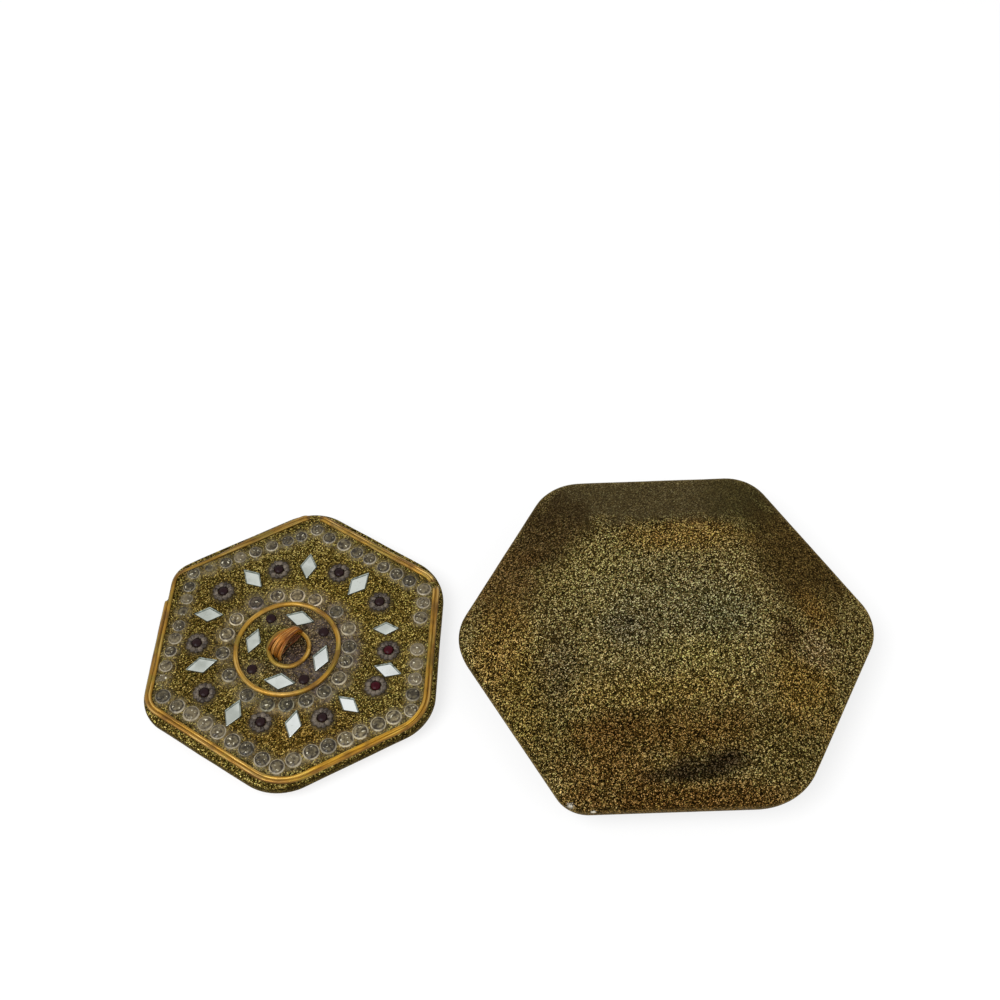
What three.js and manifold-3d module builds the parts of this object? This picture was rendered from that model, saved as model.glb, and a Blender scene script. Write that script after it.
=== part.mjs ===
// Trinket box of wood under glitter lac, stored open: the lid lies beside the upturned base.
// Millimetres, +Z up, +Y away from the front. Both pieces stand on Z = 0.
import * as THREE from 'three';
import { mergeVertices } from 'three/addons/utils/BufferGeometryUtils.js';
import Module from 'manifold-3d';

const wasm = await Module();
wasm.setup();

// Base, measured upside down as it is stored. An apothem runs from the axis to a flat side.
const BELLY_APOTHEM = 41.3;
const BELLY_CORNER = 11.8;
const BELLY_HEIGHT = 10.8;
const BELLY_EDGE = 1.5;
const BELLY_FOLD = 3.0;
const FOOT_APOTHEM = 23.8;
const FOOT_CORNER = 8.2;
const FOOT_RISE = 9.7;
const FOOT_FOLD = 2.6;
const SHOULDER_FULLNESS = 4.6;
const MOUTH_CORNER = 10.6;
const MOUTH_BOARD = 3.2;
const RIM_WIDTH = 3.9;
const SHOULDER_WALL = 3.6;
const CAVITY_BULGE = 1.2;
const WOOD_WALL = 3.0;
const FLOOR_THICKNESS = 3.0;
const BASE_LAC = 0.9;
const LAC_EDGE_LIFT = 0.4;
const BOND_GAP = 0.1;

// Lid, right side up. What is set on its face settles its size, and the lid settles the mouth's.
const LID_CORNER = 12.4;
const LID_CLEARANCE = 0.5;
const LID_OVERHANG = 4.0;
const LOCATING_DEPTH = 2.2;
const LID_WOOD = 2.4;
const LID_LAC = 1.2;
const LID_SIDE_LAC = 1.7;
const FACE_INSET = 0.8;
const SKIRT_DROP = 1.4;
const SKIRT_RETURN = 0.9;

// Gilt wire laid on the face of the lid.
const BORDER_WIRE = 0.74;
const BORDER_WIRE_GAP = 0.06;
const BORDER_INSET = 2.1;
const BORDER_CORNER = 10.8;
const OUTER_STRAND_START = 163;
const OUTER_STRAND_END = 140;
const MEDALLION_WIRE = 1.0;
const MEDALLION_RADIUS = 11.6;
const KNOB_RING_WIRE = 0.85;
const WIRE_TO_STONE = 0.2;

// The medallion was set a little off the middle of the lid by hand.
const MEDALLION_X = -1.7;
const MEDALLION_Y = -2.0;

// Knob, one wire wound into an upright loop. Its lower run and its two tails are sunk in the lid.
const KNOB_WIRE = 0.5;
const KNOB_PITCH = 0.95;
const KNOB_TURNS = 3.5;
const KNOB_HALF_LENGTH = 2.75;
const KNOB_HALF_HEIGHT = 2.1;
const KNOB_CENTRE_LIFT = 1.05;
const KNOB_TAIL = 3.2;
const KNOB_DIRECTION = 54;
const WELL_SIDE_MARGIN = 0.14;
const WELL_TO_RING = 0.08;
const WELL_MARGIN = 0.3;
const TAIL_HOLE_RADIUS = 0.6;

// Clear round stones.
const STONE_RADIUS = 1.85;
const STONE_GAP = 0.14;
const STONE_PATH_CORNER = 12.0;
const MEDALLION_STONE_RADIUS = 2.0;
const MEDALLION_STONE_GAP = 0.85;
const MEDALLION_GAP_ANGLE = 260;
const STONE_HEIGHT = 1.1;
const STONE_GIRDLE_HEIGHT = 0.5;
const STONE_SLOPE = 0.75;
const STONE_BACK_SLOPE = 0.15;
const GLUE_HEIGHT = 0.3;
const GLUE_WIDTH = 1.6;

// Rosettes, their beads and the loose beads of the medallion.
const ROSETTE_RADIUS = 2.65;
const ROSETTE_PETALS = 12;
const ROSETTE_NOTCH = 0.4;
const ROSETTE_HEIGHT = 0.7;
const BEAD_RADIUS = 1.12;
const BEAD_HEIGHT = 1.3;
const BEAD_WAIST_HEIGHT = 0.55;
const BEAD_TOP_RADIUS = 0.6;
const BEAD_BOTTOM_RADIUS = 0.9;
const BEAD_SEAT_GAP = 0.2;

// Plain lac between the border stones and the medallion stones, which holds rosettes and mirrors.
const FIELD_WIDTH = 9.83;

// Cut mirrors.
const MIRROR_LENGTH = 6.2;
const MIRROR_WIDTH = 3.5;
const MIRROR_HEIGHT = 0.8;
const MIRROR_BEVEL_HEIGHT = 0.3;
const MIRROR_TABLE_SHARE = 0.82;

// Where the setter's hand put each piece: degrees round the lid, and how far off the field's middle.
const MIRROR_ANGLES = [89, 127, 163, 198, 238, 276, 312, 343, 11, 51];
const MIRROR_SHIFTS = [-1.2, -0.7, 0.8, 0.3, 0.3, -0.7, -0.7, 1.3, -0.7, -1.2];
const MIRROR_LEANS = [0, 10, 17, 3, 15, -12, 11, 1, -8, 4];
const ROSETTE_ANGLES = [109, 146, 183, 216, 256, 294, 331, 355.5, 31, 67];
const ROSETTE_SHIFTS = [-1.2, 1.3, 1.3, 1.8, -0.4, -0.7, 0.8, 0.1, -0.2, -1.2];
const RED_BEADS = [6, 7];
const MEDALLION_MIRROR_ANGLES = [77, 167, 266, 345];
const MEDALLION_MIRROR_GAP = 1.15;
const MEDALLION_BEAD_ANGLES = [122, 217, 302, 30];
const MEDALLION_BEAD_GAP = 0.98;

// How the two pieces lie side by side, with a gap between them along X.
const PIECES_APART = 3.68;
const LID_FROM_BASE_Y = 3.9;
const LID_TURN = -4.0;

// Fineness of the facets.
const CORNER_STEPS = 4;
const SHOULDER_STEPS = 4;
const WIRE_SIDES = 8;
const MEDALLION_SEGMENTS = 36;
const KNOB_RING_SEGMENTS = 24;
const WELL_SEGMENTS = 24;
const STONE_SEGMENTS = 8;
const BEAD_SEGMENTS = 8;
const MIRROR_SIDES = 4;
const LOOP_STEPS = 24;
const LOOP_SIDES = 6;
const GAP_SAMPLES_PER_STEP = 4;

const SIXTH = Math.PI / 3;
const SIDES = 6;
const degrees = THREE.MathUtils.degToRad;
const mix = THREE.MathUtils.lerp;

// The knob settles its well and its ring.
const knobHalfWidth = (KNOB_TURNS * KNOB_PITCH + KNOB_WIRE) / 2;
const knobReach = Math.hypot(KNOB_HALF_LENGTH + KNOB_WIRE / 2, knobHalfWidth);
const wellRadius = knobReach + WELL_SIDE_MARGIN;
const knobRingRadius = wellRadius + WELL_TO_RING + KNOB_RING_WIRE / 2;

// From the medallion out to the edge of the lid, and from there to the mouth of the base.
const medallionEdge = MEDALLION_RADIUS - MEDALLION_WIRE / 2;
const medallionStonePath = medallionEdge + MEDALLION_WIRE + WIRE_TO_STONE + MEDALLION_STONE_RADIUS;
const fieldMiddle = medallionStonePath + MEDALLION_STONE_RADIUS + FIELD_WIDTH / 2;
const stonePathApothem = fieldMiddle + FIELD_WIDTH / 2 + STONE_RADIUS;
const borderApothem = stonePathApothem + STONE_RADIUS + WIRE_TO_STONE + BORDER_WIRE / 2;
const lidApothem = borderApothem + BORDER_INSET;
const mouthApothem = lidApothem - LID_OVERHANG;

const MATERIALS = {
  wood: { color: 0x9a6b3f, roughness: 0.75, metalness: 0 },
  lac: { color: 0x5f4d16, roughness: 0.45, metalness: 0.35 },
  wire: { color: 0xc98a1e, roughness: 0.35, metalness: 0.9 },
  knob: { color: 0xb5651b, roughness: 0.35, metalness: 0.9 },
  stone: { color: 0xa79f8d, roughness: 0.12, metalness: 0.1 },
  petal: { color: 0x6d6370, roughness: 0.2, metalness: 0.1 },
  bead: { color: 0x24151f, roughness: 0.2, metalness: 0.1 },
  redBead: { color: 0x6a1018, roughness: 0.2, metalness: 0.1 },
  mirror: { color: 0xe6ecec, roughness: 0.05, metalness: 1 },
};

// A named mesh with flat faces and its own material.
function piece(name, geometry, finish) {
  const faceted = geometry.index ? geometry.toNonIndexed() : geometry;
  faceted.computeVertexNormals();
  const mesh = new THREE.Mesh(faceted, new THREE.MeshStandardMaterial(MATERIALS[finish]));
  mesh.name = name;
  return mesh;
}

// Closed geometry to a solid for cutting and joining, and back.
function toSolid(geometry) {
  const bare = geometry.clone();
  bare.deleteAttribute('normal');
  bare.deleteAttribute('uv');
  const merged = mergeVertices(bare);
  const vertProperties = merged.attributes.position.array;
  const triVerts = new Uint32Array(merged.index.array);
  return new wasm.Manifold(new wasm.Mesh({ numProp: 3, vertProperties, triVerts }));
}

function toGeometry(solid) {
  const mesh = solid.getMesh();
  const geometry = new THREE.BufferGeometry();
  geometry.setAttribute('position', new THREE.BufferAttribute(mesh.vertProperties, 3));
  geometry.setIndex(new THREE.BufferAttribute(mesh.triVerts, 1));
  return geometry;
}

// One outline of a hexagonal piece: a hexagon with round corners at a height.
function level(apothem, corner, height) {
  return { apothem, corner, height };
}

// A point of that outline. Each corner is an arc of CORNER_STEPS steps, and the first corner is at +X.
function outlinePoint({ apothem, corner }, step) {
  const along = Math.floor(step / (CORNER_STEPS + 1)) * SIXTH;
  const turn = along + ((step % (CORNER_STEPS + 1)) / CORNER_STEPS - 0.5) * SIXTH;
  const reach = (apothem - corner) / Math.cos(SIXTH / 2);
  const x = reach * Math.cos(along) + corner * Math.cos(turn);
  const y = reach * Math.sin(along) + corner * Math.sin(turn);
  return new THREE.Vector2(x, y);
}

// How far an outline reaches along X when its first corner is turned away from there.
function reachAlongX({ apothem, corner }, turn) {
  const off = THREE.MathUtils.euclideanModulo(turn, SIXTH);
  const nearest = Math.min(off, SIXTH - off);
  return ((apothem - corner) / Math.cos(SIXTH / 2)) * Math.cos(nearest) + corner;
}

// A lathe whose round section is pushed out to the hexagon of each level.
// The levels climb the outside, and start and end on the axis or on each other.
function hexagonSolid(levels) {
  const segments = SIDES * (CORNER_STEPS + 1);
  const profile = levels.map(({ apothem, height }) => new THREE.Vector2(apothem, height));
  const geometry = new THREE.LatheGeometry(profile, segments);
  const position = geometry.attributes.position;
  for (let i = 0; i < position.count; i += 1) {
    const here = levels[i % levels.length];
    const step = Math.floor(i / levels.length) % segments;
    const point = outlinePoint(here, step);
    position.setXYZ(i, point.x, point.y, here.height);
  }
  return geometry;
}

// A round lathe with its axis along Z.
function turned(profile, segments) {
  const points = profile.map(([radius, height]) => new THREE.Vector2(radius, height));
  return new THREE.LatheGeometry(points, segments).rotateX(Math.PI / 2);
}

// Moves a profile to its inner side by a distance, square to its own line.
function inset(points, distance) {
  return points.map((point, index) => {
    const before = points[Math.max(index - 1, 0)];
    const after = points[Math.min(index + 1, points.length - 1)];
    const direction = after.clone().sub(before).normalize();
    const x = point.x - direction.y * distance;
    const y = point.y + direction.x * distance;
    return new THREE.Vector2(Math.max(x, 0), y);
  });
}

// Base

const footTop = BELLY_HEIGHT + FOOT_RISE;
const rimOutside = mouthApothem + RIM_WIDTH;
const mouthShare = MOUTH_CORNER / mouthApothem;
const bellyShare = BELLY_CORNER / BELLY_APOTHEM;
const footShare = FOOT_CORNER / FOOT_APOTHEM;

// The corners grow rounder towards the mouth and towards the foot.
function baseLevel({ x, y }) {
  const below = y < BELLY_HEIGHT;
  const share = below
    ? mix(mouthShare, bellyShare, y / BELLY_HEIGHT)
    : mix(bellyShare, footShare, (y - BELLY_HEIGHT) / FOOT_RISE);
  return level(x, x * share, y);
}

// Outside of the lac, from the mouth rim up over the belly to the middle of the foot.
function baseOutside() {
  const bellyFold = new THREE.Vector2(BELLY_APOTHEM, BELLY_HEIGHT + BELLY_EDGE);
  const footFold = new THREE.Vector2(FOOT_APOTHEM, footTop);
  const slope = footFold.clone().sub(bellyFold).normalize();
  const slopeStart = bellyFold.clone().addScaledVector(slope, BELLY_FOLD);
  const slopeEnd = footFold.clone().addScaledVector(slope, -FOOT_FOLD);
  const path = new THREE.Path();
  path.moveTo(rimOutside + BOND_GAP + BASE_LAC, LAC_EDGE_LIFT);
  path.quadraticCurveTo(BELLY_APOTHEM, SHOULDER_FULLNESS, BELLY_APOTHEM, BELLY_HEIGHT);
  path.quadraticCurveTo(bellyFold.x, bellyFold.y, slopeStart.x, slopeStart.y);
  path.lineTo(slopeEnd.x, slopeEnd.y);
  path.quadraticCurveTo(footFold.x, footFold.y, footFold.x - FOOT_FOLD, footFold.y);
  path.lineTo(0, footTop);
  return path.getPoints(SHOULDER_STEPS);
}

const lacOutside = baseOutside();
const lacInside = inset(lacOutside, BASE_LAC);
const woodOutside = inset(lacOutside, BASE_LAC + BOND_GAP);
const seam = woodOutside[SHOULDER_STEPS];
const floorHeight = footTop - BASE_LAC - BOND_GAP - FLOOR_THICKNESS;
const slopeRun = (BELLY_APOTHEM - FOOT_APOTHEM) / (FOOT_RISE - BELLY_EDGE);
const seamInside = seam.x - WOOD_WALL * Math.hypot(slopeRun, 1);
const floorApothem = seamInside - slopeRun * (floorHeight - seam.y);

// Lower half of the wood, closed by the foot.
function baseBowl() {
  const inside = [
    new THREE.Vector2(0, floorHeight),
    new THREE.Vector2(floorApothem, floorHeight),
    new THREE.Vector2(seamInside, seam.y),
  ];
  return hexagonSolid([...inside, ...woodOutside.slice(SHOULDER_STEPS)].map(baseLevel));
}

// Where the outside of the wood passes the top of the mouth board.
const boardAbove = woodOutside.findIndex(({ y }) => y > MOUTH_BOARD);
const [boardBelow, boardBeyond] = woodOutside.slice(boardAbove - 1, boardAbove + 1);
const boardShare = (MOUTH_BOARD - boardBelow.y) / (boardBeyond.y - boardBelow.y);
const boardEdge = boardBelow.clone().lerp(boardBeyond, boardShare);
const shoulderInside = boardEdge.x - SHOULDER_WALL;

// Middle of the wood, from the glued seam at the belly to the mouth board.
function baseShoulder() {
  const cavity = new THREE.Path();
  const bulge = Math.max(seamInside, shoulderInside) + CAVITY_BULGE;
  cavity.moveTo(seamInside, seam.y);
  cavity.quadraticCurveTo(bulge, (seam.y + MOUTH_BOARD) / 2, shoulderInside, MOUTH_BOARD);
  const outside = [boardEdge, ...woodOutside.slice(boardAbove, SHOULDER_STEPS + 1)];
  return hexagonSolid([...outside, ...cavity.getPoints(SHOULDER_STEPS), boardEdge].map(baseLevel));
}

// Flat board with the mouth cut through it, glued on the shoulder.
function mouthRing() {
  const rim = new THREE.Vector2(rimOutside, 0);
  const outside = [rim, ...woodOutside.slice(0, boardAbove), boardEdge];
  const opening = [new THREE.Vector2(mouthApothem, MOUTH_BOARD), new THREE.Vector2(mouthApothem, 0)];
  return hexagonSolid([...outside, ...opening, rim].map(baseLevel));
}

// The lac covers the whole outside and leaves the flat rim bare.
function baseLacCoat() {
  return hexagonSolid([...[...lacInside].reverse(), ...lacOutside].map(baseLevel));
}

// Lid

const woodTop = LOCATING_DEPTH + LID_WOOD;
const face = woodTop + LID_LAC;
const lidShare = LID_CORNER / lidApothem;
const lidWoodApothem = lidApothem - LID_SIDE_LAC;
const faceApothem = lidApothem - FACE_INSET;
const wellFloor = face + KNOB_CENTRE_LIFT - KNOB_HALF_HEIGHT - KNOB_WIRE / 2 - WELL_MARGIN;
const tailDepth = KNOB_TAIL + WELL_MARGIN - KNOB_CENTRE_LIFT;

function lidLevel([apothem, height]) {
  return level(apothem, apothem * lidShare, height);
}

// A corner of the lid's own hexagons points along +Y.
function lidSolid(levels) {
  return hexagonSolid(levels).rotateZ(SIXTH / 2);
}

// Well under the knob, which holds the lower run of its wire.
function knobWell() {
  const well = new THREE.CylinderGeometry(wellRadius, wellRadius, face, WELL_SEGMENTS);
  well.rotateX(Math.PI / 2);
  return well.translate(MEDALLION_X, MEDALLION_Y, wellFloor + face / 2);
}

// Drilled holes for the two tails of the knob's wire.
function tailHole(end) {
  const hole = new THREE.CylinderGeometry(TAIL_HOLE_RADIUS, TAIL_HOLE_RADIUS, face, WIRE_SIDES);
  hole.rotateX(Math.PI / 2).translate(0, 0, face - tailDepth + face / 2);
  const across = (end * KNOB_TURNS * KNOB_PITCH) / 2;
  hole.translate(end * KNOB_HALF_LENGTH, across, 0).rotateZ(degrees(KNOB_DIRECTION));
  return hole.translate(MEDALLION_X, MEDALLION_Y, 0);
}

// Wooden plate with the locating rim that drops into the mouth.
function lidWood() {
  const locating = mouthApothem - LID_CLEARANCE;
  const blank = lidSolid([
    level(0, 0, 0),
    level(locating, locating * mouthShare, 0),
    level(locating, locating * mouthShare, LOCATING_DEPTH),
    lidLevel([lidWoodApothem, LOCATING_DEPTH]),
    lidLevel([lidWoodApothem, woodTop]),
    level(0, 0, woodTop),
  ]);
  let solid = toSolid(blank).subtract(toSolid(knobWell()));
  for (const end of [-1, 1]) solid = solid.subtract(toSolid(tailHole(end)));
  return toGeometry(solid);
}

// Lac over the top and the edge of the plate, with its skirt turned under.
function lidLacCoat() {
  const skirt = new THREE.Path();
  skirt.moveTo(lidApothem - SKIRT_RETURN, LOCATING_DEPTH);
  skirt.quadraticCurveTo(lidApothem, LOCATING_DEPTH, lidApothem, face - SKIRT_DROP);
  skirt.quadraticCurveTo(lidApothem, face, faceApothem, face);
  const outside = skirt.getPoints(SHOULDER_STEPS).map(({ x, y }) => [x, y]);
  const inside = [
    [0, woodTop],
    [lidWoodApothem + BOND_GAP, woodTop],
    [lidWoodApothem + BOND_GAP, LOCATING_DEPTH],
  ];
  const blank = lidSolid([...inside, ...outside, [0, face]].map(lidLevel));
  return toGeometry(toSolid(blank).subtract(toSolid(knobWell())));
}

// Section of a wire that lies flat on the face, as a closed profile at a distance from its axis.
function wireProfile(distance, diameter) {
  const points = [];
  for (let k = 0; k <= WIRE_SIDES; k += 1) {
    const turn = ((k - 0.5) / WIRE_SIDES) * 2 * Math.PI - Math.PI / 2;
    const flat = (diameter / 2) * Math.cos(Math.PI / WIRE_SIDES);
    const x = distance + (diameter / 2) * Math.cos(turn);
    const height = k === 0 || k === 1 || k === WIRE_SIDES ? 0 : flat + (diameter / 2) * Math.sin(turn);
    points.push([x, height]);
  }
  return points;
}

function borderStrand(apothem, corner) {
  const levels = wireProfile(apothem, BORDER_WIRE).map(([x, height]) =>
    level(x, corner + x - apothem, face + height),
  );
  return lidSolid(levels);
}

// The outer strand stops short of a full round, so its two ends show on the left side.
function outerStrand() {
  const step = BORDER_WIRE + BORDER_WIRE_GAP;
  const strand = borderStrand(borderApothem + step, BORDER_CORNER + step);
  const wedge = new THREE.Shape();
  const reach = 2 * lidApothem;
  wedge.moveTo(0, 0);
  for (const turn of [OUTER_STRAND_END, OUTER_STRAND_START]) {
    wedge.lineTo(reach * Math.cos(degrees(turn)), reach * Math.sin(degrees(turn)));
  }
  const cut = new THREE.ExtrudeGeometry(wedge, { depth: 2 * face, bevelEnabled: false });
  return toGeometry(toSolid(strand).subtract(toSolid(cut)));
}

function wireRing(radius, diameter, segments) {
  return turned(wireProfile(radius, diameter), segments).translate(MEDALLION_X, MEDALLION_Y, face);
}

// Turns of the knob's wire: an ellipse that climbs on edge and drifts across at a steady rate.
class KnobTurns extends THREE.Curve {
  getPoint(t, target = new THREE.Vector3()) {
    const turn = Math.PI - t * KNOB_TURNS * 2 * Math.PI;
    const along = KNOB_HALF_LENGTH * Math.cos(turn);
    const across = (t - 0.5) * KNOB_TURNS * KNOB_PITCH;
    const up = KNOB_CENTRE_LIFT + KNOB_HALF_HEIGHT * Math.sin(turn);
    return target.set(along, across, up);
  }
}

function knobPath() {
  const turns = new KnobTurns();
  const start = turns.getPoint(0);
  const end = turns.getPoint(1);
  const drop = new THREE.Vector3(0, 0, -KNOB_TAIL);
  const path = new THREE.CurvePath();
  path.add(new THREE.LineCurve3(start.clone().add(drop), start));
  path.add(turns);
  path.add(new THREE.LineCurve3(end, end.clone().add(drop)));
  return path;
}

// Smallest clear distance between two stretches of the knob's wire.
function leastKnobGap(path) {
  const points = path.getSpacedPoints(KNOB_TURNS * LOOP_STEPS * GAP_SAMPLES_PER_STEP);
  const spacing = path.getLength() / (points.length - 1);
  const apart = Math.ceil((KNOB_HALF_HEIGHT + KNOB_WIRE) / spacing);
  let least = Infinity;
  for (let i = 0; i < points.length; i += 1) {
    for (let j = i + apart; j < points.length; j += 1) {
      least = Math.min(least, points[i].distanceTo(points[j]));
    }
  }
  return least - KNOB_WIRE;
}

function knobLoop() {
  const path = knobPath();
  console.log(`Least gap of the knob's wire to itself: ${leastKnobGap(path).toFixed(3)} mm`);
  const section = new THREE.Shape();
  for (let k = 0; k < LOOP_SIDES; k += 1) {
    const turn = (k / LOOP_SIDES) * 2 * Math.PI;
    const point = [(KNOB_WIRE / 2) * Math.cos(turn), (KNOB_WIRE / 2) * Math.sin(turn)];
    if (k === 0) section.moveTo(...point);
    else section.lineTo(...point);
  }
  const steps = Math.round(LOOP_STEPS * (path.getLength() / path.curves[1].getLength()) * KNOB_TURNS);
  const wire = new THREE.ExtrudeGeometry(section, { steps, bevelEnabled: false, extrudePath: path });
  return wire.rotateZ(degrees(KNOB_DIRECTION)).translate(MEDALLION_X, MEDALLION_Y, face);
}

// Stones

function stone(radius) {
  return turned(
    [
      [0, 0],
      [radius - STONE_BACK_SLOPE, 0],
      [radius, STONE_GIRDLE_HEIGHT],
      [radius - STONE_SLOPE, STONE_HEIGHT],
      [0, STONE_HEIGHT],
    ],
    STONE_SEGMENTS,
  );
}

// Band of clear glue under a line of stones, through their centres.
function glueBand(centres, normals) {
  const edge = (side) =>
    centres.map((centre, i) => centre.clone().addScaledVector(normals[i], (side * GLUE_WIDTH) / 2));
  const outline = new THREE.Shape([...edge(1), ...edge(-1).reverse()]);
  return new THREE.ExtrudeGeometry(outline, { depth: GLUE_HEIGHT, bevelEnabled: false });
}

// Stones share one node with the glue that joins them.
function stoneLine(band, centres, radius) {
  let solid = toSolid(band);
  for (const { x, y } of centres) solid = solid.add(toSolid(stone(radius).translate(x, y, 0)));
  return toGeometry(solid).translate(0, 0, face);
}

// Path of the border stones, measured from one corner of the lid.
const stonePathStraight = 2 * (stonePathApothem - STONE_PATH_CORNER) * Math.tan(SIXTH / 2);
const stonePathArc = STONE_PATH_CORNER * SIXTH;
const stonePathSide = stonePathStraight + stonePathArc;
const stonesInRow = Math.floor(stonePathSide / (2 * STONE_RADIUS + STONE_GAP));

// Place and outward normal on one sixth of that path, which starts in the middle of a corner.
function stonePlace(distance) {
  const halfArc = stonePathArc / 2;
  const corner = new THREE.Vector2((stonePathApothem - STONE_PATH_CORNER) / Math.cos(SIXTH / 2), 0);
  const turn = distance < halfArc ? distance / STONE_PATH_CORNER : SIXTH / 2;
  const normal = new THREE.Vector2(Math.cos(turn), Math.sin(turn));
  const tangent = new THREE.Vector2(-normal.y, normal.x);
  const straight = THREE.MathUtils.clamp(distance - halfArc, 0, stonePathStraight);
  const rest = Math.max(distance - halfArc - stonePathStraight, 0);
  const centre = corner.addScaledVector(tangent, straight).addScaledVector(normal, STONE_PATH_CORNER);
  if (rest === 0) return { centre, normal };
  const pivot = centre.addScaledVector(normal, -STONE_PATH_CORNER);
  const bend = SIXTH / 2 + rest / STONE_PATH_CORNER;
  const bentNormal = new THREE.Vector2(Math.cos(bend), Math.sin(bend));
  return { centre: pivot.addScaledVector(bentNormal, STONE_PATH_CORNER), normal: bentNormal };
}

function stoneRow(index) {
  const places = [];
  for (let k = 0; k < stonesInRow; k += 1) places.push(stonePlace((k * stonePathSide) / stonesInRow));
  const centres = places.map(({ centre }) => centre);
  const normals = places.map(({ normal }) => normal);
  const row = stoneLine(glueBand(centres, normals), centres, STONE_RADIUS);
  return row.rotateZ(SIXTH / 2 + index * SIXTH);
}

// The ring leaves the gap between two of its stones to the rosette that reaches in furthest.
function medallionStones() {
  const pitch = 2 * MEDALLION_STONE_RADIUS + MEDALLION_STONE_GAP;
  const count = Math.floor((2 * Math.PI * medallionStonePath) / pitch);
  const ring = (radius) => {
    const points = [];
    for (let k = 0; k < count; k += 1) {
      const turn = degrees(MEDALLION_GAP_ANGLE) + ((k + 0.5) / count) * 2 * Math.PI;
      points.push(new THREE.Vector2(radius * Math.cos(turn), radius * Math.sin(turn)));
    }
    return points;
  };
  const band = new THREE.Shape(ring(medallionStonePath + GLUE_WIDTH / 2));
  band.holes.push(new THREE.Path(ring(medallionStonePath - GLUE_WIDTH / 2)));
  const glue = new THREE.ExtrudeGeometry(band, { depth: GLUE_HEIGHT, bevelEnabled: false });
  const line = stoneLine(glue, ring(medallionStonePath), MEDALLION_STONE_RADIUS);
  return line.translate(MEDALLION_X, MEDALLION_Y, 0);
}

// A ring of petals, open in the middle for its bead.
function rosette() {
  const outline = new THREE.Shape();
  const points = 2 * ROSETTE_PETALS;
  for (let k = 0; k < points; k += 1) {
    const radius = ROSETTE_RADIUS - (k % 2) * ROSETTE_NOTCH;
    const turn = (k / points) * 2 * Math.PI;
    if (k === 0) outline.moveTo(radius, 0);
    else outline.lineTo(radius * Math.cos(turn), radius * Math.sin(turn));
  }
  const seat = new THREE.Path();
  for (let k = 0; k < BEAD_SEGMENTS; k += 1) {
    const turn = (k / BEAD_SEGMENTS) * 2 * Math.PI;
    const radius = (BEAD_RADIUS + BEAD_SEAT_GAP) / Math.cos(Math.PI / BEAD_SEGMENTS);
    if (k === 0) seat.moveTo(radius, 0);
    else seat.lineTo(radius * Math.cos(turn), radius * Math.sin(turn));
  }
  outline.holes.push(seat);
  return new THREE.ExtrudeGeometry(outline, { depth: ROSETTE_HEIGHT, bevelEnabled: false });
}

function bead() {
  return turned(
    [
      [0, 0],
      [BEAD_BOTTOM_RADIUS, 0],
      [BEAD_RADIUS, BEAD_WAIST_HEIGHT],
      [BEAD_TOP_RADIUS, BEAD_HEIGHT],
      [0, BEAD_HEIGHT],
    ],
    BEAD_SEGMENTS,
  );
}

// A diamond of looking-glass with a bevelled top, long along X.
function mirror() {
  const profile = [
    [0, 0],
    [1, 0],
    [1, MIRROR_HEIGHT - MIRROR_BEVEL_HEIGHT],
    [MIRROR_TABLE_SHARE, MIRROR_HEIGHT],
    [0, MIRROR_HEIGHT],
  ];
  return turned(profile, MIRROR_SIDES).scale(MIRROR_LENGTH / 2, MIRROR_WIDTH / 2, 1);
}

// Puts a setting on the face at an angle and a distance from a centre.
function place(geometry, angle, reach, x = 0, y = 0) {
  const turn = degrees(angle);
  return geometry.translate(x + reach * Math.cos(turn), y + reach * Math.sin(turn), face);
}

const twoDigits = (index) => String(index + 1).padStart(2, '0');

// Assembly

const base = new THREE.Group();
base.add(
  piece('base_bowl', baseBowl(), 'wood'),
  piece('base_shoulder', baseShoulder(), 'wood'),
  piece('mouth_ring', mouthRing(), 'wood'),
  piece('base_lac_coat', baseLacCoat(), 'lac'),
);

const lid = new THREE.Group();
lid.add(
  piece('lid_wood', lidWood(), 'wood'),
  piece('lid_lac_coat', lidLacCoat(), 'lac'),
  piece('border_wire_inner', borderStrand(borderApothem, BORDER_CORNER), 'wire'),
  piece('border_wire_outer', outerStrand(), 'wire'),
  piece('medallion_ring', wireRing(MEDALLION_RADIUS, MEDALLION_WIRE, MEDALLION_SEGMENTS), 'wire'),
  piece('knob_ring', wireRing(knobRingRadius, KNOB_RING_WIRE, KNOB_RING_SEGMENTS), 'wire'),
  piece('knob_loop', knobLoop(), 'knob'),
  piece('medallion_stones', medallionStones(), 'stone'),
);
for (let i = 0; i < SIDES; i += 1) lid.add(piece(`stone_row_${i + 1}`, stoneRow(i), 'stone'));

ROSETTE_ANGLES.forEach((angle, i) => {
  const tint = RED_BEADS.includes(i) ? 'redBead' : 'bead';
  const reach = fieldMiddle + ROSETTE_SHIFTS[i];
  lid.add(piece(`rosette_${twoDigits(i)}`, place(rosette(), angle, reach), 'petal'));
  lid.add(piece(`rosette_bead_${twoDigits(i)}`, place(bead(), angle, reach), tint));
});

MIRROR_ANGLES.forEach((angle, i) => {
  const glass = mirror().rotateZ(degrees(angle + MIRROR_LEANS[i]));
  const set = place(glass, angle, fieldMiddle + MIRROR_SHIFTS[i]);
  lid.add(piece(`mirror_${twoDigits(i)}`, set, 'mirror'));
});

MEDALLION_MIRROR_ANGLES.forEach((angle, i) => {
  const glass = mirror().rotateZ(degrees(angle) + Math.PI / 2);
  const reach = medallionEdge - MEDALLION_MIRROR_GAP - MIRROR_WIDTH / 2;
  const set = place(glass, angle, reach, MEDALLION_X, MEDALLION_Y);
  lid.add(piece(`medallion_mirror_${i + 1}`, set, 'mirror'));
});

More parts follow.
